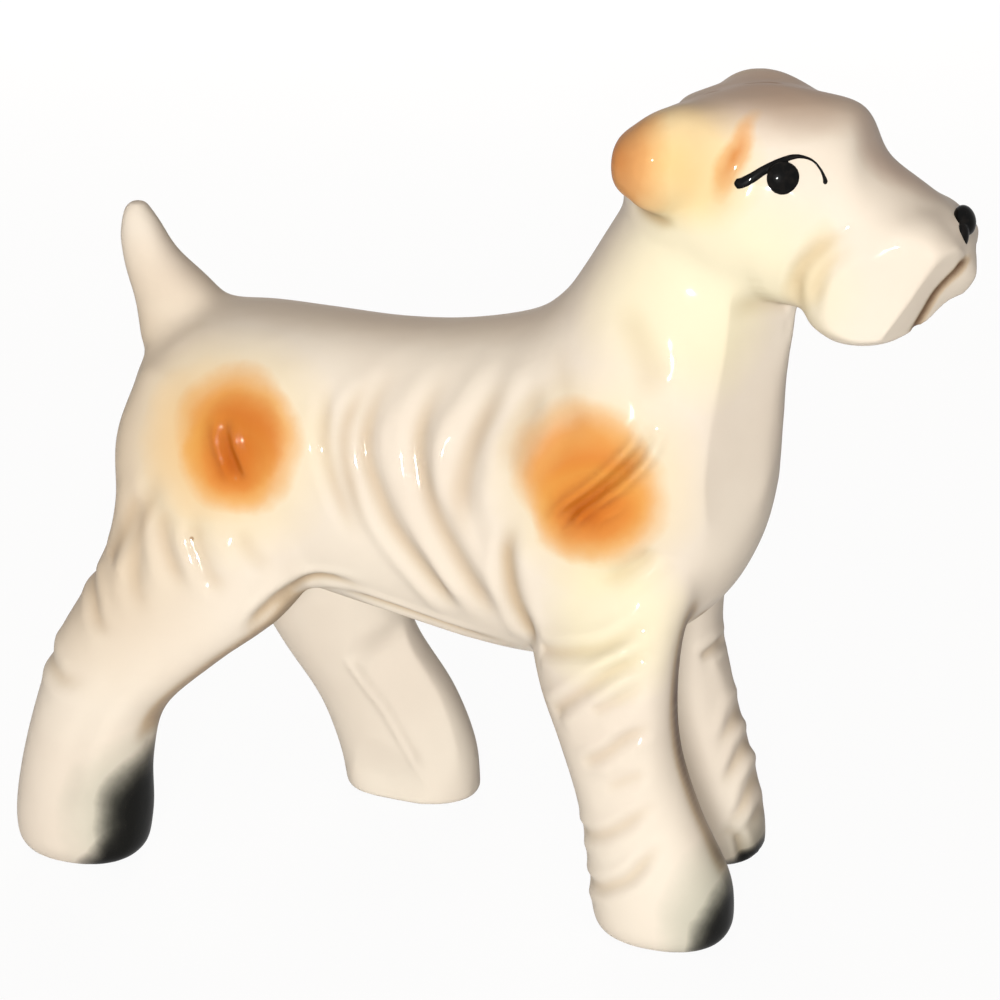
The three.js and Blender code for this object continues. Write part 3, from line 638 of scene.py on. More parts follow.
@dataclass
class Clay:
    """The whole dog as one body of clay, worked point by point in millimetres."""

    coarse: float = 0.9
    fine: float = 0.54
    firmness: float = 0.76  # how hard the folds are pressed
    reach: float = 4.0  # the most that a pat presses back
    mesh: bpy.types.Mesh = field(init=False)

    def gather(self) -> None:
        """Lofts every mass and fuses them."""
        clay = bmesh.new()
        masses = [trunk_mass(), tail_mass(), *head_masses(), ear_mass(RIGHT), ear_mass(LEFT)]
        for mass in [*masses, *leg_masses().values()]:
            lofted = mass.loft()
            clay.from_mesh(lofted)
            bpy.data.meshes.remove(lofted)
        self.mesh = finished(clay, "clay")
        self.fuse(self.coarse)

    def fuse(self, voxel: float) -> None:
        """Makes one even skin of everything.

        Args:
            voxel: Size of its faces in millimetres.
        """
        block = placed(self.mesh, "clay")
        remesh = block.modifiers.new("even_skin", "REMESH")
        remesh.mode = "VOXEL"
        remesh.voxel_size = voxel
        seen = block.evaluated_get(bpy.context.evaluated_depsgraph_get())
        fused = bpy.data.meshes.new_from_object(seen)
        bpy.data.objects.remove(block)
        bpy.data.meshes.remove(self.mesh)
        self.mesh = fused

    def points(self) -> np.ndarray:
        """The skin's points."""
        return rows_of(self.mesh.vertices, "co")

    def normals(self) -> np.ndarray:
        """The way the skin faces at each point."""
        return rows_of(self.mesh.vertex_normals, "vector")

    def store(self, points: np.ndarray) -> None:
        """Moves the skin to new points."""
        self.mesh.vertices.foreach_set("co", points.ravel())
        self.mesh.update()

    def smoothed(self, points: np.ndarray, rounds: int, weight: np.ndarray | float = 1.0) -> np.ndarray:
        """Draws each point towards the middle of its neighbours, over and over.

        Args:
            points: The points to smooth.
            rounds: How many times.
            weight: Share of each move that a point makes.

        Returns:
            The smoothed points.
        """
        a, b = rows_of(self.mesh.edges, "vertices", 2, np.int32).T
        count = len(points)
        neighbours = np.bincount(a, minlength=count) + np.bincount(b, minlength=count)
        share = (np.ones(count) * weight * 0.5)[:, None]
        made = points.copy()
        for _ in range(rounds):
            total = np.empty_like(made)
            for axis in range(3):
                column = made[:, axis]
                total[:, axis] = np.bincount(a, column[b], count) + np.bincount(b, column[a], count)
            made += share * (total / neighbours[:, None] - made)
        return made

    def draw_together(self) -> None:
        """Fills the clefts where masses meet, pats the flats on and rubs the clay smooth."""
        points, normals = self.points(), self.normals()
        off_sole = smoothstep(0.5, 5.0, points[:, 2])
        blends = [*BLENDS, *MIDDLE_BLENDS]
        for spread in sorted({blend.spread for blend in blends}):
            weight = np.zeros(len(points))
            for blend in blends:
                if blend.spread == spread:
                    weight = np.maximum(weight, blend.hold(points, 0.55))
            shift = self.smoothed(points, self.rounds(spread, self.coarse), weight) - points
            outward = np.einsum("ij,ij->i", shift, normals)
            points += normals * (np.maximum(outward, 0.0) * off_sole)[:, None]
        points = self.smoothed(points, 3, off_sole)
        self.store(points)
        self.fuse(self.fine)
        points = self.points()
        points = self.smoothed(points, 10, off_shelf(points))
        for facet in [*FACETS, *LEG_FACETS]:
            points = self.patted(points, facet)
        for rub in RUBS:
            points = self.smoothed(points, self.rounds(rub.spread, self.fine), rub.hold(points, 0.4))
        self.store(points)

    def rounds(self, spread: float, voxel: float) -> int:
        """How many rounds of smoothing reach over a number of millimetres."""
        return int((2 * spread / voxel) ** 2)

    def patted(self, points: np.ndarray, facet: Facet) -> np.ndarray:
        """Presses one flat into the clay.

        Args:
            points: The skin's points.
            facet: The flat.

        Returns:
            The points, with those that stood out past the flat moved back to it.
        """
        facing = np.array(facet.facing) / np.linalg.norm(facet.facing)
        away = points - np.array(facet.centre)
        proud = away @ facing
        aside = np.linalg.norm(away - proud[:, None] * facing, axis=1) / facet.radius
        pressed = np.where(proud < self.reach, np.maximum(proud, 0.0), 0.0)
        return points - (pressed * (1 - smoothstep(0.6, 1.0, aside)))[:, None] * facing

    def press_folds(self) -> None:
        """Works the folds and swells into the skin, and remembers how deep each point lies, weighted by
        how dark the pooled glaze and painted shade of its fold are.
        """
        points, normals = self.points(), self.normals()
        lift, crease = np.zeros(len(points)), np.zeros(len(points))
        for swell in SWELLS:
            away = (points - np.array(swell.centre)) / np.array(swell.radii)
            lift += swell.height * np.exp(-(away**2).sum(axis=1) * 1.4)
        for fold in coat_folds():
            moved = self.fold_lift(fold, points, normals)
            lift += moved
            # the folds' darkening, pooled glaze and painted shade, grows with depth and ink
            crease += np.clip(-moved, 0.0, None) * fold.ink if fold.depth > 0 else 0.0
        points = points + normals * lift[:, None]
        self.store(self.smoothed(points, 2, off_shelf(points)))
        pool_and_shade = self.smoothed(np.column_stack([np.minimum(crease / 3, 1.0)] * 3), 2)[:, 0]
        layer = self.mesh.attributes.new("crease", "FLOAT", "POINT")
        layer.data.foreach_set("value", np.ascontiguousarray(pool_and_shade))

    def fold_lift(self, fold: Fold, points: np.ndarray, normals: np.ndarray) -> np.ndarray:
        """How far one fold moves each point outwards.

        Args:
            fold: The fold.
            points: The skin's points.
            normals: The way the skin faces.

        Returns:
            Millimetres outwards for every point.
        """
        path = np.array(fold.points)
        count = 10 * (len(path) - 1) + 1
        places = np.linspace(0, len(path) - 1, count)
        path = np.array([flowing(path, place) for place in places])
        faces = -fold.side if fold.crosses else fold.side
        out = points[:, 1] * fold.side
        reach = 4 * fold.width + 2
        low, high = path.min(0) - reach, path.max(0) + reach
        near = (out > fold.inner) & (out < fold.outer) & (normals[:, 1] * faces > -fold.wrap)
        near &= (points[:, 0] > low[0]) & (points[:, 0] < high[0])
        near &= (points[:, 2] > low[1]) & (points[:, 2] < high[1])
        lift = np.zeros(len(points))
        chosen = points[near][:, (0, 2)]
        if not len(chosen):
            return lift
        away = np.linalg.norm(chosen[:, None, :] - path[None], axis=2)
        nearest = away.argmin(axis=1)
        along = nearest / (count - 1)
        distance = away[np.arange(len(chosen)), nearest] / fold.width
        dying = smoothstep(0.0, fold.ends[0], along) * smoothstep(0.0, fold.ends[1], 1 - along)
        facing = smoothstep(-fold.wrap, 0.45 - fold.wrap, normals[near][:, 1] * faces)
        valley = np.exp(-(distance**2))
        banks = np.exp(-((distance - 2.1) ** 2) * 1.2)
        lift[near] = self.firmness * fold.depth * dying * facing * (fold.swell * banks - valley)
        return lift

    def pierce(self, x: float, radius: float, depth: float) -> None:
        """Sinks the round vent in the belly.

        Args:
            x: Where it is along the belly.
            radius: Its radius.
            depth: How deep it shows.
        """
        points, normals = self.points(), self.normals()
        away = np.hypot(points[:, 0] - x, points[:, 1])
        under = smoothstep(0.3, 0.8, -normals[:, 2]) * (points[:, 2] > BELLY - 8)
        points[:, 2] += depth * under * (1 - smoothstep(radius - 0.35, radius + 0.35, away))
        self.store(points)



@dataclass(frozen=True)
class Joint:
    """A flat cut where a casting was luted on, and the part of the clay that it bounds.

    The casting keeps what lies on the far side of every plane.
    """

    piece: str
    planes: tuple[Plane, ...]


def cut_across(mass: Mass, place: float) -> Plane:
    """The plane across a mass at a place, as a point and the direction onward along the mass."""
    front, back, _ = mass.read(place)
    before, after = mass.read(place - 0.1), mass.read(place + 0.1)
    run = front - back
    square = np.array((-run[2], 0.0, run[0]))
    if np.dot(square, after[0] + after[1] - before[0] - before[1]) < 0:
        square = -square
    square /= np.linalg.norm(square)
    return tuple((front + back) / 2), tuple(square)


# How far along each mass its casting was luted on; 1.5 is midway from its second section to its third.
NECK_JOINT = 10.35
TAIL_JOINT = 1.15
LEG_JOINTS = {
    "front_leg_right": 2.6, "front_leg_left": 2.6, "hind_leg_right": 3.75, "hind_leg_left": 3.6,
}


def joints() -> list[Joint]:
    """Every joint, in the order in which the castings are parted."""
    legs = leg_masses()
    made = []
    for side, name in ((RIGHT, "ear_right"), (LEFT, "ear_left")):
        x = EAR_STAGGER if side == LEFT else 0.0
        groove = ((x + 39.2, 0, 124.5), (-0.92, 0, 0.39))
        lower = ((x + 28, 0, 115.6), (-0.1, 0, 1.0))
        inner = ((0, side * 11.5, 0), (0, side, 0.0))
        made.append(Joint(name, (groove, lower, inner)))
    made.append(Joint("head", (cut_across(trunk_mass(), NECK_JOINT),)))
    made.append(Joint("tail", (cut_across(tail_mass(), TAIL_JOINT), ((-50, 0, 0), (-1, 0, 0)))))
    for name, place in LEG_JOINTS.items():
        side = RIGHT if name.endswith("right") else LEFT
        across = cut_across(legs[name], place)
        fore = 1 if name.startswith("front") else -1
        made.append(Joint(name, (across, ((0, 0, 0), (0, side, 0)), ((-5, 0, 0), (fore, 0, 0)))))
    return made


@dataclass
class Castings:
    """The clay parted at its joints, as one closed mesh for each casting."""

    clay: Clay
    skin: bmesh.types.BMesh = field(init=False)
    names: list[str] = field(default_factory=lambda: ["trunk"])

    def part(self) -> None:
        """Scores the skin along each joint and marks whose face each one is."""
        self.skin = bmesh.new()
        self.skin.from_mesh(self.clay.mesh)
        self.skin.faces.ensure_lookup_table()
        middles = rows_of(self.clay.mesh.polygons, "center")
        beside, beside_cut = [], 2.0
        for joint in joints():
            away = self.depths(joint, middles)
            near = (away.min(axis=1) > -beside_cut) & (np.abs(away).min(axis=1) < beside_cut)
            beside.append([self.skin.faces[i] for i in np.flatnonzero(near)])
        for joint, faces in zip(joints(), beside):
            self.score(joint, faces)
        self.claim()
        self.skin.normal_update()
        facing = self.skin.verts.layers.float_vector.new("facing")
        for vert in self.skin.verts:
            vert[facing] = vert.normal

    def depths(self, joint: Joint, points: np.ndarray) -> np.ndarray:
        """How far inside each plane of a joint the points lie."""
        facing = [np.array(normal) / np.linalg.norm(normal) for _, normal in joint.planes]
        columns = [(points - np.array(at)) @ way for (at, _), way in zip(joint.planes, facing)]
        return np.stack(columns, axis=1)

    def score(self, joint: Joint, faces: list) -> None:
        """Cuts the faces beside a joint along its planes."""
        for point, normal in joint.planes:
            edges = {edge for face in faces for edge in face.edges}
            verts = {vert for face in faces for vert in face.verts}
            geom = [*verts, *edges, *faces]
            cut = bmesh.ops.bisect_plane(
                self.skin, geom=geom, dist=0.01, plane_co=point, plane_no=normal
            )
            faces = [g for g in cut["geom"] if isinstance(g, bmesh.types.BMFace)]

    def claim(self) -> None:
        """Gives each face to the first joint whose planes hold it, and the rest to the trunk."""
        scored = bpy.data.meshes.new("scored")
        self.skin.to_mesh(scored)
        middles = rows_of(scored.polygons, "center")
        bpy.data.meshes.remove(scored)
        owner = np.zeros(len(middles), int)
        for joint in joints():
            self.names.append(joint.piece)
            inside = (self.depths(joint, middles) > 0).all(axis=1)
            owner[inside & (owner == 0)] = len(self.names) - 1
        for face, index in zip(self.skin.faces, owner.tolist()):
            face.material_index = index

    def casting(self, name: str) -> bpy.types.Object:
        """One casting, closed across its joints and moved into the frame.

        Args:
            name: The casting's name.

        Returns:
            Its object.
        """
        index = self.names.index(name)
        piece = self.skin.copy()
        spare = [face for face in piece.faces if face.material_index != index]
        bmesh.ops.delete(piece, geom=spare, context="FACES")
        open_edges = [edge for edge in piece.edges if edge.is_boundary]
        caps = bmesh.ops.holes_fill(piece, edges=open_edges, sides=0)["faces"]
        fans = bmesh.ops.poke(piece, faces=caps)["faces"]
        for face in piece.faces:
            face.material_index = 0
        for face in fans:
            face.material_index = 1
        bmesh.ops.triangulate(piece, faces=[f for f in piece.faces if len(f.verts) > 4])
        into_frame(piece)
        mesh = finished(piece, name)
        self.keep_facing(mesh)
        return placed(mesh, f"glazed_{name}")

    def keep_facing(self, mesh: bpy.types.Mesh) -> None:
        """Shades a piece as part of the whole skin, so that no joint shows in the glaze."""
        corner = rows_of(mesh.loops, "vertex_index", 1, np.int32)
        normals = rows_of(mesh.attributes["facing"].data, "vector")[corner]
        cap = rows_of(mesh.polygons, "material_index", 1, np.int32)
        size = rows_of(mesh.polygons, "loop_total", 1, np.int32)
        on_cap = np.repeat(cap, size) == 1
        normals[on_cap] = np.repeat(rows_of(mesh.polygons, "normal"), size, axis=0)[on_cap]
        mesh.polygons.foreach_set("material_index", np.zeros_like(cap))
        mesh.polygons.foreach_set("use_smooth", np.ones(len(cap), bool))
        mesh.normals_split_custom_set(normals.tolist())
        mesh.attributes.remove(mesh.attributes["facing"])
        mesh.update()


def colour(red: int, green: int, blue: int, alpha: float = 1.0) -> tuple[float, ...]:
    """A colour as it is seen on a screen, made linear for a shader."""
    shares = [level / 255 for level in (red, green, blue)]
    linear = [s / 12.92 if s <= 0.04045 else ((s + 0.055) / 1.055) ** 2.4 for s in shares]
    return (*linear, alpha)


@dataclass(frozen=True)
class Spray:
    """A patch of colour blown on with an airbrush, densest at its middle.

    Its stops run from the rim (0) to the middle (1): place, colour and cover.
    """

    centre: Point
    radii: Point
    stops: tuple[tuple[float, Shade, float], ...]
    tilt: float = 0.0  # radians about Y
    sides: tuple[int, ...] = (1, -1)  # 1 where it is, -1 for the same on the other side


HERE = (1,)

HONEY = (243, 168, 62)
STRAW = (252, 228, 158)
SOOT = (8, 8, 6)

HALO = ((0.0, STRAW, 0.0), (0.3, STRAW, 0.26), (1.0, STRAW, 0.62))
PATCH = (
    (0.0, HONEY, 0.0), (0.22, (240, 172, 78), 0.5), (0.5, (232, 146, 60), 0.82),
    (1.0, (214, 112, 22), 0.88),
)


def fading(shade: Shade, full: float, most: float = 1.0) -> tuple:
    """Stops that look evenly spaced to the eye, from nothing at the rim to `most` at `full`."""
    return tuple((full * k / 6, shade, most * (1 - (1 - k / 6) ** 2.4)) for k in range(7))


def sprays() -> list[Spray]:
    """Every airbrushed patch, from the first that was blown on to the last; a few are painted shade
    rather than the dog's own colour.
    """
    warm = ((0.0, (255, 244, 206), 0.0), (0.5, (255, 246, 212), 0.8), (1.0, (255, 248, 216), 0.9))
    soot = fading(SOOT, 0.5)
    haze = fading((186, 190, 172), 1.0, 0.75)
    grey = ((0.0, (150, 150, 128), 0.0), (0.5, (140, 138, 116), 0.5), (1.0, (96, 92, 74), 0.8))
    soft = ((0.0, STRAW, 0.0), (0.45, (255, 222, 150), 0.65), (1.0, (252, 210, 126), 0.85))
    deep = ((0.0, HONEY, 0.0), (0.45, (232, 158, 82), 0.75), (1.0, (218, 130, 48), 0.95))
    groove = ((0.0, (252, 208, 140), 0.0), (0.4, (246, 180, 102), 0.6), (1.0, (234, 150, 68), 0.9))
    return [
        # painted shade: the rump and haunches darker and warmer, as if further from the light
        Spray((-66, -12, 64), (32, 26, 42), fading((232, 208, 174), 1.0, 0.62)),
        # painted shade along the top of the back, where it turns from the light
        Spray((-20, 0, 98), (64, 15, 9), fading((214, 180, 146), 1.0, 0.22), sides=HERE),
        Spray((36, -14, 106), (24, 12, 20), warm),
        Spray((24, -19, 54), (13, 10, 14), warm),
        Spray((20.7, -20, 75.4), (18, 18, 19), HALO),
        Spray((-40.6, -19, 75.0), (19, 18, 20.5), HALO),
        Spray((-43, -19, 75), (15, 18, 14), fading((246, 190, 110), 1.0, 0.5)),
        Spray((18.4, -20, 77.6), (12.4, 16, 12), PATCH),
        Spray((21.0, -20, 74), (11.8, 16, 12.5), PATCH),
        Spray((20.2, -20, 71.2), (10.5, 16, 8.5), PATCH, tilt=-0.5),
        Spray((-40.4, -19, 77.4), (10.8, 16, 10.6), PATCH),
        Spray((-38.2, -19, 74.6), (10.6, 16, 11.4), PATCH),
        Spray((-40.6, -19, 71.8), (8.8, 16, 8.6), PATCH),
        Spray((-38.6, -19, 75.8), (7.5, 16, 8.5), fading((204, 104, 22), 1.0, 0.6)),
        Spray((31, -17, 125), (14.5, 12, 12.5), soft),
        Spray((23.4, -16, 124.6), (8.4, 12, 10.2), deep),
        # painted shade on the top of the skull and of the muzzle, which turn from the light
        Spray((40, 0, 137), (24, 20, 13), fading((204, 162, 128), 1.0, 0.66), sides=HERE),
        Spray((60, 0, 125), (14, 8, 8), fading((210, 174, 152), 1.0, 0.5), sides=HERE),
        Spray((39.8, -14, 126.2), (2.3, 9, 7.6), groove, tilt=0.38),
        Spray((50.4, -11, 108.8), (3.6, 6, 9.5), fading((244, 222, 176), 1.0, 0.6), tilt=0.35),
        Spray((-58.5, -22, 8.0), (13.5, 13, 17), haze, sides=HERE),
        Spray((42.0, -17, 6.0), (11.5, 13, 14), haze, sides=HERE),
        Spray((-55.0, -20, 7.5), (11.5, 13.5, 14.5), soot, sides=HERE),
        Spray((-60.5, -24, 0.5), (8.5, 9, 7), soot, sides=HERE),
        Spray((44.4, -15.5, 3.0), (8.6, 11.5, 10.5), soot, tilt=0.12, sides=HERE),
        Spray((37.6, 14.5, 3.2), (7.2, 9, 8.4), grey, sides=HERE),
        Spray((39, 15, 0.6), (7.5, 9, 4), soot, sides=HERE),
        Spray((-43.6, -11.5, 91.3), (0.5, 0.6, 0.5), ((0.0, SOOT, 0.3), (1.0, SOOT, 0.9)),
            sides=HERE),
        Spray((-52.4, -10.2, 88.4), (0.4, 0.6, 0.4), ((0, SOOT, 0.3), (1, SOOT, 0.8)), sides=HERE),
    ]


class Nodes:
    """A short hand for laying out the nodes of a material or a world."""

    def __init__(self, owner: bpy.types.Material | bpy.types.World) -> None:
        """Clears the owner's nodes."""
        owner.use_nodes = True
        self.owner = owner
        self.tree = owner.node_tree
        self.tree.nodes.clear()

    def new(self, kind: str, inputs: dict | None = None, **settings: object) -> bpy.types.Node:
        """Adds a node.

        Args:
            kind: Its type.
            inputs: What its inputs get, as `feed` takes it.
            settings: Its properties.

        Returns:
            The node.
        """
        node = self.tree.nodes.new(kind)
        for key, value in settings.items():
            setattr(node, key, value)
        self.feed(node, inputs or {})
        return node

    def feed(self, node: bpy.types.Node, inputs: dict) -> None:
        """Gives inputs, by name or number, a value each or the socket that they follow."""
        for key, value in inputs.items():
            if isinstance(value, bpy.types.NodeSocket):
                self.tree.links.new(value, node.inputs[key])
            else:
                node.inputs[key].default_value = value

    def over(self, below: object, above: object, cover: object, way: str = "MIX") -> object:
        """Lays one colour over another."""
        inputs = {"Factor": cover, 6: below, 7: above}
        return self.new("ShaderNodeMix", inputs, data_type="RGBA", blend_type=way).outputs[2]

    def math(self, operation: str, first: object, second: object) -> object:
        """Works out one value from two."""
        return self.new("ShaderNodeMath", {0: first, 1: second}, operation=operation).outputs[0]

    def looked_at(self) -> object:
        """1 where the camera looks, also by way of glaze or glass, and 0 for other light."""
        seen = self.new("ShaderNodeLightPath").outputs
        either = self.math("MAXIMUM", seen["Is Camera Ray"], seen["Is Glossy Ray"])
        return self.math("MAXIMUM", either, seen["Is Transmission Ray"])

    def mixed(self, share: object, first: object, second: object, end: str) -> None:
        """Mixes two shaders into the output node, which is of the type `end`."""
        both = self.new("ShaderNodeMixShader", {0: share, 1: first, 2: second})
        self.new(end, {"Surface": both.outputs[0]})


class Finish(Nodes):
    """The nodes of a material, with its glossy shader and its place on the object."""

    def __init__(self, name: str) -> None:
        """Makes the material."""
        super().__init__(bpy.data.materials.new(name))
        self.shader = self.new("ShaderNodeBsdfPrincipled")
        self.place = self.new("ShaderNodeTexCoord").outputs["Object"]

    def noise(self, scale: float, detail: float = 2.0) -> bpy.types.Node:
        """An even random pattern, `scale` waves to the metre."""
        inputs = {"Scale": scale, "Detail": detail, "Vector": self.place}
        return self.new("ShaderNodeTexNoise", inputs)

    def ramp(self, value: object, stops: tuple) -> bpy.types.Node:
        """Turns a value into colours and their cover."""
        node = self.new("ShaderNodeValToRGB", {"Fac": value})
        band = node.color_ramp
        while len(band.elements) < len(stops):
            band.elements.new(0.5)
        for element, (at, shade, cover) in zip(band.elements, stops):
            element.position = at
            element.color = colour(*shade, cover)
        return node

    def end(self) -> bpy.types.Material:
        """Joins the shader to the output, and returns the finished material."""
        self.new("ShaderNodeOutputMaterial", {"Surface": self.shader.outputs["BSDF"]})
        return self.owner


@dataclass(frozen=True)
class Glaze:
    """Cream porcelain under a clear glaze, with the airbrushed colours below it, and painted shade in
    its folds, along its turned-away edges and over its rump, back, skull and muzzle top.
    """

    slot: Slot
    roughness: float = 0.45
    coat: float = 0.26
    coat_roughness: float = 0.06
    cream: Shade = (246, 234, 218)
    ivory: Shade = (252, 242, 226)
    iron: Shade = (120, 92, 62)
    # tints for pooled glaze and painted shade in the folds, from none to the darkest
    pool_and_shade_tints: tuple = ((0.0, (255, 255, 255), 1), (0.33, (222, 210, 192), 1), (1.0, (120, 92, 70), 1))

    def material(self) -> bpy.types.Material:
        """Builds the material.

        Returns:
            The finished material.
        """
        nodes = Finish(self.slot.value)
        drift = nodes.noise(38.0, 3.0).outputs["Fac"]
        base = nodes.ramp(drift, ((0.36, self.cream, 1), (0.64, self.ivory, 1)))
        shade = base.outputs["Color"]
        where = self.wavering(nodes)
        for spray in sprays():
            for side in spray.sides:
                shade = self.blown(nodes, shade, spray, side, where)
        shade = self.flecked(nodes, self.pool_and_shade(nodes, shade))
        ripple = self.rippled(nodes)
        nodes.feed(nodes.shader, {
            "Base Color": shade, "Roughness": self.roughness, "Specular IOR Level": 0.0,
            "Coat Weight": self.coat, "Coat Roughness": self.coat_roughness, "Coat IOR": 1.5,
            "Normal": ripple, "Coat Normal": ripple,
        })
        return nodes.end()

    def wavering(self, nodes: Finish) -> object:
        """The place on the dog, shaken a little, so that no spray has a ruled edge."""
        kind, shake = "ShaderNodeVectorMath", nodes.noise(110.0, 4.0).outputs["Color"]
        centred = nodes.new(kind, {0: shake, 1: (0.5, 0.5, 0.5)}, operation="SUBTRACT").outputs[0]
        scaled = nodes.new(kind, {0: centred, "Scale": 0.004}, operation="SCALE").outputs[0]
        return nodes.new(kind, {0: nodes.place, 1: scaled}, operation="ADD").outputs[0]

    def blown(self, nodes: Finish, below: object, spray: Spray, side: int, where: object) -> object:
        """Blows one patch of colour over what is there."""
        x, y, z = spray.centre
        turned = nodes.new("ShaderNodeMapping", {
            "Location": to_metres(x, y * side, z), "Rotation": (0.0, spray.tilt, 0.0),
            "Scale": Vector(spray.radii) * MM, "Vector": where,
        }, vector_type="TEXTURE").outputs[0]
        cloud = nodes.new("ShaderNodeTexGradient", {"Vector": turned}, gradient_type="SPHERICAL")
        band = nodes.ramp(cloud.outputs["Fac"], spray.stops)
        return nodes.over(below, band.outputs["Color"], band.outputs["Alpha"])

    def pool_and_shade(self, nodes: Finish, below: object) -> object:
        """Darkens the colour in the folds: partly pooled glaze, partly painted shade, strongest in the
        painted shade lines along the turned-away edges.
        """
        depth = nodes.new("ShaderNodeAttribute", attribute_name="crease")
        tint = nodes.ramp(depth.outputs["Fac"], self.pool_and_shade_tints)
        return nodes.over(below, tint.outputs["Color"], 1.0, "MULTIPLY")

    def flecked(self, nodes: Finish, below: object) -> object:
        """A few iron specks and pinholes in the glaze."""
        cells = nodes.new("ShaderNodeTexVoronoi", {"Scale": 110.0, "Vector": nodes.place})
        dot = nodes.ramp(cells.outputs["Distance"], ((0.03, self.iron, 0.8), (0.05, self.iron, 0.0)))
        chosen = nodes.math("GREATER_THAN", nodes.noise(70.0).outputs["Fac"], 0.66)
        cover = nodes.math("MULTIPLY", dot.outputs["Alpha"], chosen)
        return nodes.over(below, dot.outputs["Color"], cover)

    def rippled(self, nodes: Finish) -> object:
        """The faint waves of a dipped and fired glaze."""
        waves = nodes.noise(190.0, 1.0).outputs["Fac"]
        inputs = {"Strength": 0.22, "Distance": 0.0006, "Height": waves}
        return nodes.new("ShaderNodeBump", inputs).outputs["Normal"]


@dataclass(frozen=True)
class Enamel:
    """Black enamel laid on with a brush and fired."""

    slot: Slot = Slot.BLACK
    black: Shade = (3, 3, 3)
    thin: Shade = (18, 15, 13)

    def material(self) -> bpy.types.Material:
        """Builds the material."""
        nodes = Finish(self.slot.value)
        strokes = nodes.noise(900.0, 3.0).outputs["Fac"]
        tone = nodes.ramp(strokes, ((0.45, self.black, 1), (0.8, self.thin, 1)))
        nodes.feed(nodes.shader, {
            "Base Color": tone.outputs["Color"], "Roughness": 0.3, "Specular IOR Level": 0.02,
            "Coat Weight": 0.16, "Coat Roughness": 0.02,
        })
        return nodes.end()


@dataclass
class Skin:
    """The finished skin of the dog, for laying enamel on."""

    tree: BVHTree

    def under(self, x: float, z: float, side: int) -> tuple[Vector, Vector]:
        """Where a brush that comes in from the side touches, and which way the skin faces."""
        point, normal, _, _ = self.tree.ray_cast(Vector((x, side * 60.0, z)), Vector((0, -side, 0)))
        return point, normal


def ball(paint: bmesh.types.BMesh, radius: float, shape: Matrix) -> None:
    """Adds a ball of a radius, turned, flattened and put in place by a matrix."""
    made = bmesh.ops.create_uvsphere(paint, u_segments=32, v_segments=20, radius=radius)
    bmesh.ops.transform(paint, matrix=shape, verts=made["verts"])


@dataclass
class Eye:
    """A painted eye: a proud pupil under a brushed lash that thins out towards the nose."""

    skin: Skin
    side: int
    lash: tuple[tuple[float, float, float], ...] = (  # X, Z and width of the stroke
        (39.6, 121.9, 1.25), (40.7, 122.1, 1.3), (42.1, 122.9, 1.25), (43.8, 124.1, 1.1),
        (45.8, 125.3, 0.85), (47.6, 126.0, 0.65), (49.1, 126.0, 0.42), (50.4, 125.5, 0.3),
        (51.4, 124.5, 0.32), (52.1, 123.3, 0.45), (52.4, 122.3, 0.75),
    )
    pupil: tuple[float, float] = (46.5, 123.0)
    pupil_radius: float = 2.4
    proud: float = 0.3
    voxel: float = 0.09

    def build(self) -> bpy.types.Object:
        """Lays the stroke and the pupil, and lets them run together.

        Returns:
            The eye's object.
        """
        paint = bmesh.new()
        self.stroke(paint)
        middle = self.dot(paint)
        side = "right" if self.side == RIGHT else "left"
        return fired(paint, f"enamel_eye_{side}", self.voxel, 4, (middle, 2.1))

    def stroke(self, paint: bmesh.types.BMesh) -> None:
        """The lash: an oval brush mark that follows the skin."""
        marks = np.array(self.lash)
        last, around = 59, 12
        rows = [flowing(marks, (len(marks) - 1) * k / last) for k in range(last + 1)]
        ring, edges = first_ring(paint, around)
        first = edges
        for k, (x, z, width) in enumerate(rows):
            if k:
                ring, edges = next_ring(paint, edges)
            point, normal = self.skin.under(x, z, self.side)
            onward = rows[min(k + 1, last)] - rows[max(k - 1, 0)]
            along = Vector((onward[0], 0, onward[1])).normalized()
            across = normal.cross(along).normalized()
            taper = min(1.0, 0.35 + k / 3, 0.35 + (last - k) / 3)
            for j, vert in enumerate(ring):
                turn = 2 * math.pi * j / around
                aside = math.cos(turn) * width * taper / 2 * 1.25
                rise = math.sin(turn) * self.proud * min(1.0, 0.5 + width / 2)
                vert.co = point + across * aside + normal * rise
        bmesh.ops.holes_fill(paint, edges=first + edges, sides=0)

    def dot(self, paint: bmesh.types.BMesh) -> Vector:
        """The pupil: a low dome on the skin, a little prouder at its upper rear.

        Returns:
            Its middle.
        """
        x, z = self.pupil
        point, normal = self.skin.under(x, z, self.side)
        axis = (normal + Vector((0.17, 0, -0.15))).normalized()
        turn = Vector((0, 0, 1)).rotation_difference(axis).to_matrix().to_4x4()
        flat = Matrix.Diagonal((1.0, 1.0, 0.42, 1.0))
        ball(paint, self.pupil_radius, Matrix.Translation(point) @ turn @ flat)
        return point


@dataclass
class Nose:
    """The nose: a rounded black button with a drip that runs down to the lip."""

    voxel: float = 0.13
    balls: tuple = (  # the middle, the radii and the turn about Y of each
        ((70.5, -0.7, 116.2), (2.3, 2.1, 1.6), 1.25),
        ((70.7, -2.9, 114.4), (1.0, 1.1, 1.9), 0.0),
    )

    def build(self) -> bpy.types.Object:
        """Makes the button and its drip."""
        paint = bmesh.new()
        for centre, radii, tilt in self.balls:
            place = Matrix.Translation(centre) @ Matrix.Rotation(tilt, 4, "Y")
            ball(paint, 1.0, place @ Matrix.Diagonal((*radii, 1.0)))
        return fired(paint, "enamel_nose", self.voxel, 6)


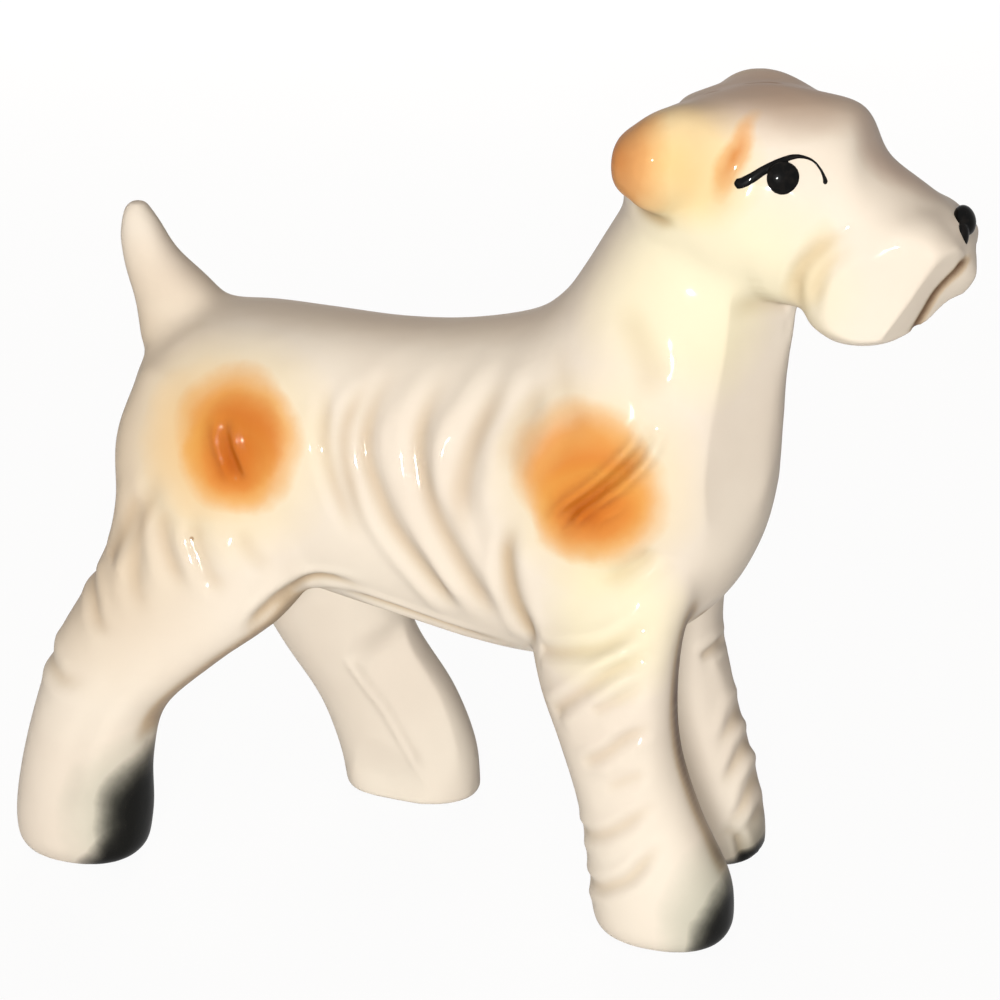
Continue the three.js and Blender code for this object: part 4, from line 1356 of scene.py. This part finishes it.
def fired(
    paint: bmesh.types.BMesh, name: str, voxel: float, rounds: int,
    calm: tuple[Vector, float] | None = None,
) -> bpy.types.Object:
    """Lets wet enamel run together into one bead, and moves it into the frame.

    Args:
        paint: The strokes, in millimetres.
        name: The piece's name.
        voxel: Size of the bead's faces.
        rounds: How much the bead is smoothed.
        calm: Where it settles to a mirror finish, and within which radius.

    Returns:
        Its object.
    """
    bmesh.ops.recalc_face_normals(paint, faces=paint.faces)
    bead = Clay()
    bead.mesh = finished(paint, name)
    bead.fuse(voxel)
    run = bmesh.new()
    run.from_mesh(bead.mesh)
    every_way = {f"use_axis_{axis}": True for axis in "xyz"}
    parts = [run.verts[:]] * rounds
    if calm:
        parts += [[vert for vert in run.verts if (vert.co - calm[0]).length < calm[1]]] * 40
    for verts in parts:
        bmesh.ops.smooth_vert(run, verts=verts, factor=0.5, **every_way)
    into_frame(run)
    for face in run.faces:
        face.smooth = True
    run.to_mesh(bead.mesh)
    run.free()
    return placed(bead.mesh, name)


@dataclass(frozen=True)
class Lamp:
    """A square soft lamp that looks at the dog."""

    name: str
    azimuth: float  # degrees
    elevation: float
    away: float  # metres
    size: float
    watts: float
    tint: tuple[float, float, float]
    mirrored: bool = False  # true where the glaze shows it
    diffuse: bool = True  # false where it only shows as a glint
    shadow: bool = True


@dataclass
class Studio:
    """The pale table, the soft lights and the camera."""

    azimuth: float = 21.0
    elevation: float = 19.0
    distance: float = 0.42
    lens: float = 95.26
    aim: Point = (0.0, -5.0, 66.0)
    lamps: tuple[Lamp, ...] = (
        Lamp("broad", 17, 10, 1.1, 0.2, 13.2, (1.0, 0.99, 0.97)),
        Lamp("fill", 12, 6, 1.2, 0.6, 10.2, (1.0, 0.985, 0.96), shadow=False),
        Lamp("above", 21, 60, 1.2, 0.6, 3.0, (1.0, 0.84, 0.7)),
        Lamp("flash", 6, 6, 0.6, 0.014, 3.2, (1.0, 0.99, 0.97), mirrored=True, diffuse=False),
        Lamp("behind", 203, 16, 1.2, 0.7, 14.0, (1.0, 0.93, 0.86)),
    )

    def build(self) -> None:
        """Sets up everything that isn't the dog."""
        self.table()
        for lamp in self.lamps:
            self.light(lamp)
        self.world()
        self.camera()

    def hang(
        self, data: bpy.types.ID, azimuth: float, elevation: float, away: float
    ) -> bpy.types.Object:
        """Hangs a lamp or a camera where it looks at the dog.

        Args:
            data: The lamp or camera.
            azimuth: Degrees around the dog from its right side.
            elevation: Degrees above the table.
            away: Metres from the dog.

        Returns:
            Its object.
        """
        a, e = math.radians(azimuth), math.radians(elevation)
        back = Vector((math.sin(a) * math.cos(e), -math.cos(a) * math.cos(e), math.sin(e)))
        made = placed(data, data.name)
        made.location = to_metres(*self.aim) + back * away
        made.rotation_mode = "QUATERNION"
        made.rotation_quaternion = (-back).to_track_quat("-Z", "Y")
        return made

    def camera(self) -> None:
        """The camera at the photographer's angle."""
        data = bpy.data.cameras.new("camera")
        data.lens = self.lens
        data.sensor_width = 36.0
        data.clip_start = 0.01
        bpy.context.scene.camera = self.hang(data, self.azimuth, self.elevation, self.distance)

    def light(self, lamp: Lamp) -> None:
        """Hangs a lamp."""
        data = bpy.data.lights.new(lamp.name, "AREA")
        data.size = lamp.size
        data.energy = lamp.watts
        data.color = lamp.tint
        data.use_shadow = lamp.shadow
        made = self.hang(data, lamp.azimuth, lamp.elevation, lamp.away)
        made.visible_glossy = lamp.mirrored
        made.visible_diffuse = lamp.diffuse

    def table(self) -> None:
        """A wide pale table."""
        top = bmesh.new()
        bmesh.ops.create_grid(top, x_segments=1, y_segments=1, size=3.0)
        table = placed(finished(top, "table"), "table")
        nodes = Finish("pale_table")
        grain = nodes.noise(6.0).outputs["Fac"]
        tone = nodes.ramp(grain, ((0.3, (196, 192, 187), 1), (0.7, (204, 200, 195), 1)))
        nodes.feed(nodes.shader, {
            "Base Color": tone.outputs["Color"], "Roughness": 0.9, "Specular IOR Level": 0.0,
        })
        share = nodes.math("MULTIPLY", nodes.looked_at(), 0.95)
        white = nodes.new("ShaderNodeEmission").outputs[0]
        nodes.mixed(share, nodes.shader.outputs["BSDF"], white, "ShaderNodeOutputMaterial")
        table.data.materials.append(nodes.owner)

    def world(self) -> None:
        """A dim warm room, behind a white backdrop."""
        world = bpy.data.worlds.new("room")
        bpy.context.scene.world = world
        nodes = Nodes(world)
        room, backdrop = (
            nodes.new("ShaderNodeBackground", {"Color": shade, "Strength": 1.0}).outputs[0]
            for shade in ((0.11, 0.076, 0.054, 1.0), (1.0, 1.0, 1.0, 1.0))
        )
        nodes.mixed(nodes.looked_at(), room, backdrop, "ShaderNodeOutputWorld")
        bpy.context.scene.view_settings.view_transform = "Standard"


def dress(piece: bpy.types.Object, node: str, material: bpy.types.Material) -> None:
    """Gives a piece its finish, and says which casting it stands for."""
    piece.data.materials.clear()
    piece.data.materials.append(material)
    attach(piece, "root")
    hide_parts(node)
    log.info("%s: %d faces, stands for %s", piece.name, len(piece.data.polygons), node)


def main() -> None:
    """Models the dog, parts it into its castings, glazes them and sets up the studio."""
    logging.basicConfig(level=logging.INFO, format="%(message)s")
    clay = Clay()
    clay.gather()
    clay.draw_together()
    clay.press_folds()
    clay.pierce(x=-10.0, radius=1.5, depth=3.0)
    castings = Castings(clay)
    castings.part()
    cream, amber = Glaze(Slot.CREAM).material(), Glaze(Slot.AMBER).material()
    for name in castings.names:
        slot, material = (Slot.AMBER, amber) if name.startswith("ear") else (Slot.CREAM, cream)
        dress(castings.casting(name), name, material)
    black = Enamel().material()
    skin = Skin(BVHTree.FromBMesh(castings.skin))
    for side, node in ((RIGHT, "eye_right_enamel"), (LEFT, "eye_left_enamel")):
        dress(Eye(skin, side).build(), node, black)
    dress(Nose().build(), "nose_enamel", black)
    castings.skin.free()
    Studio().build()


if __name__ == "__main__":
    main()
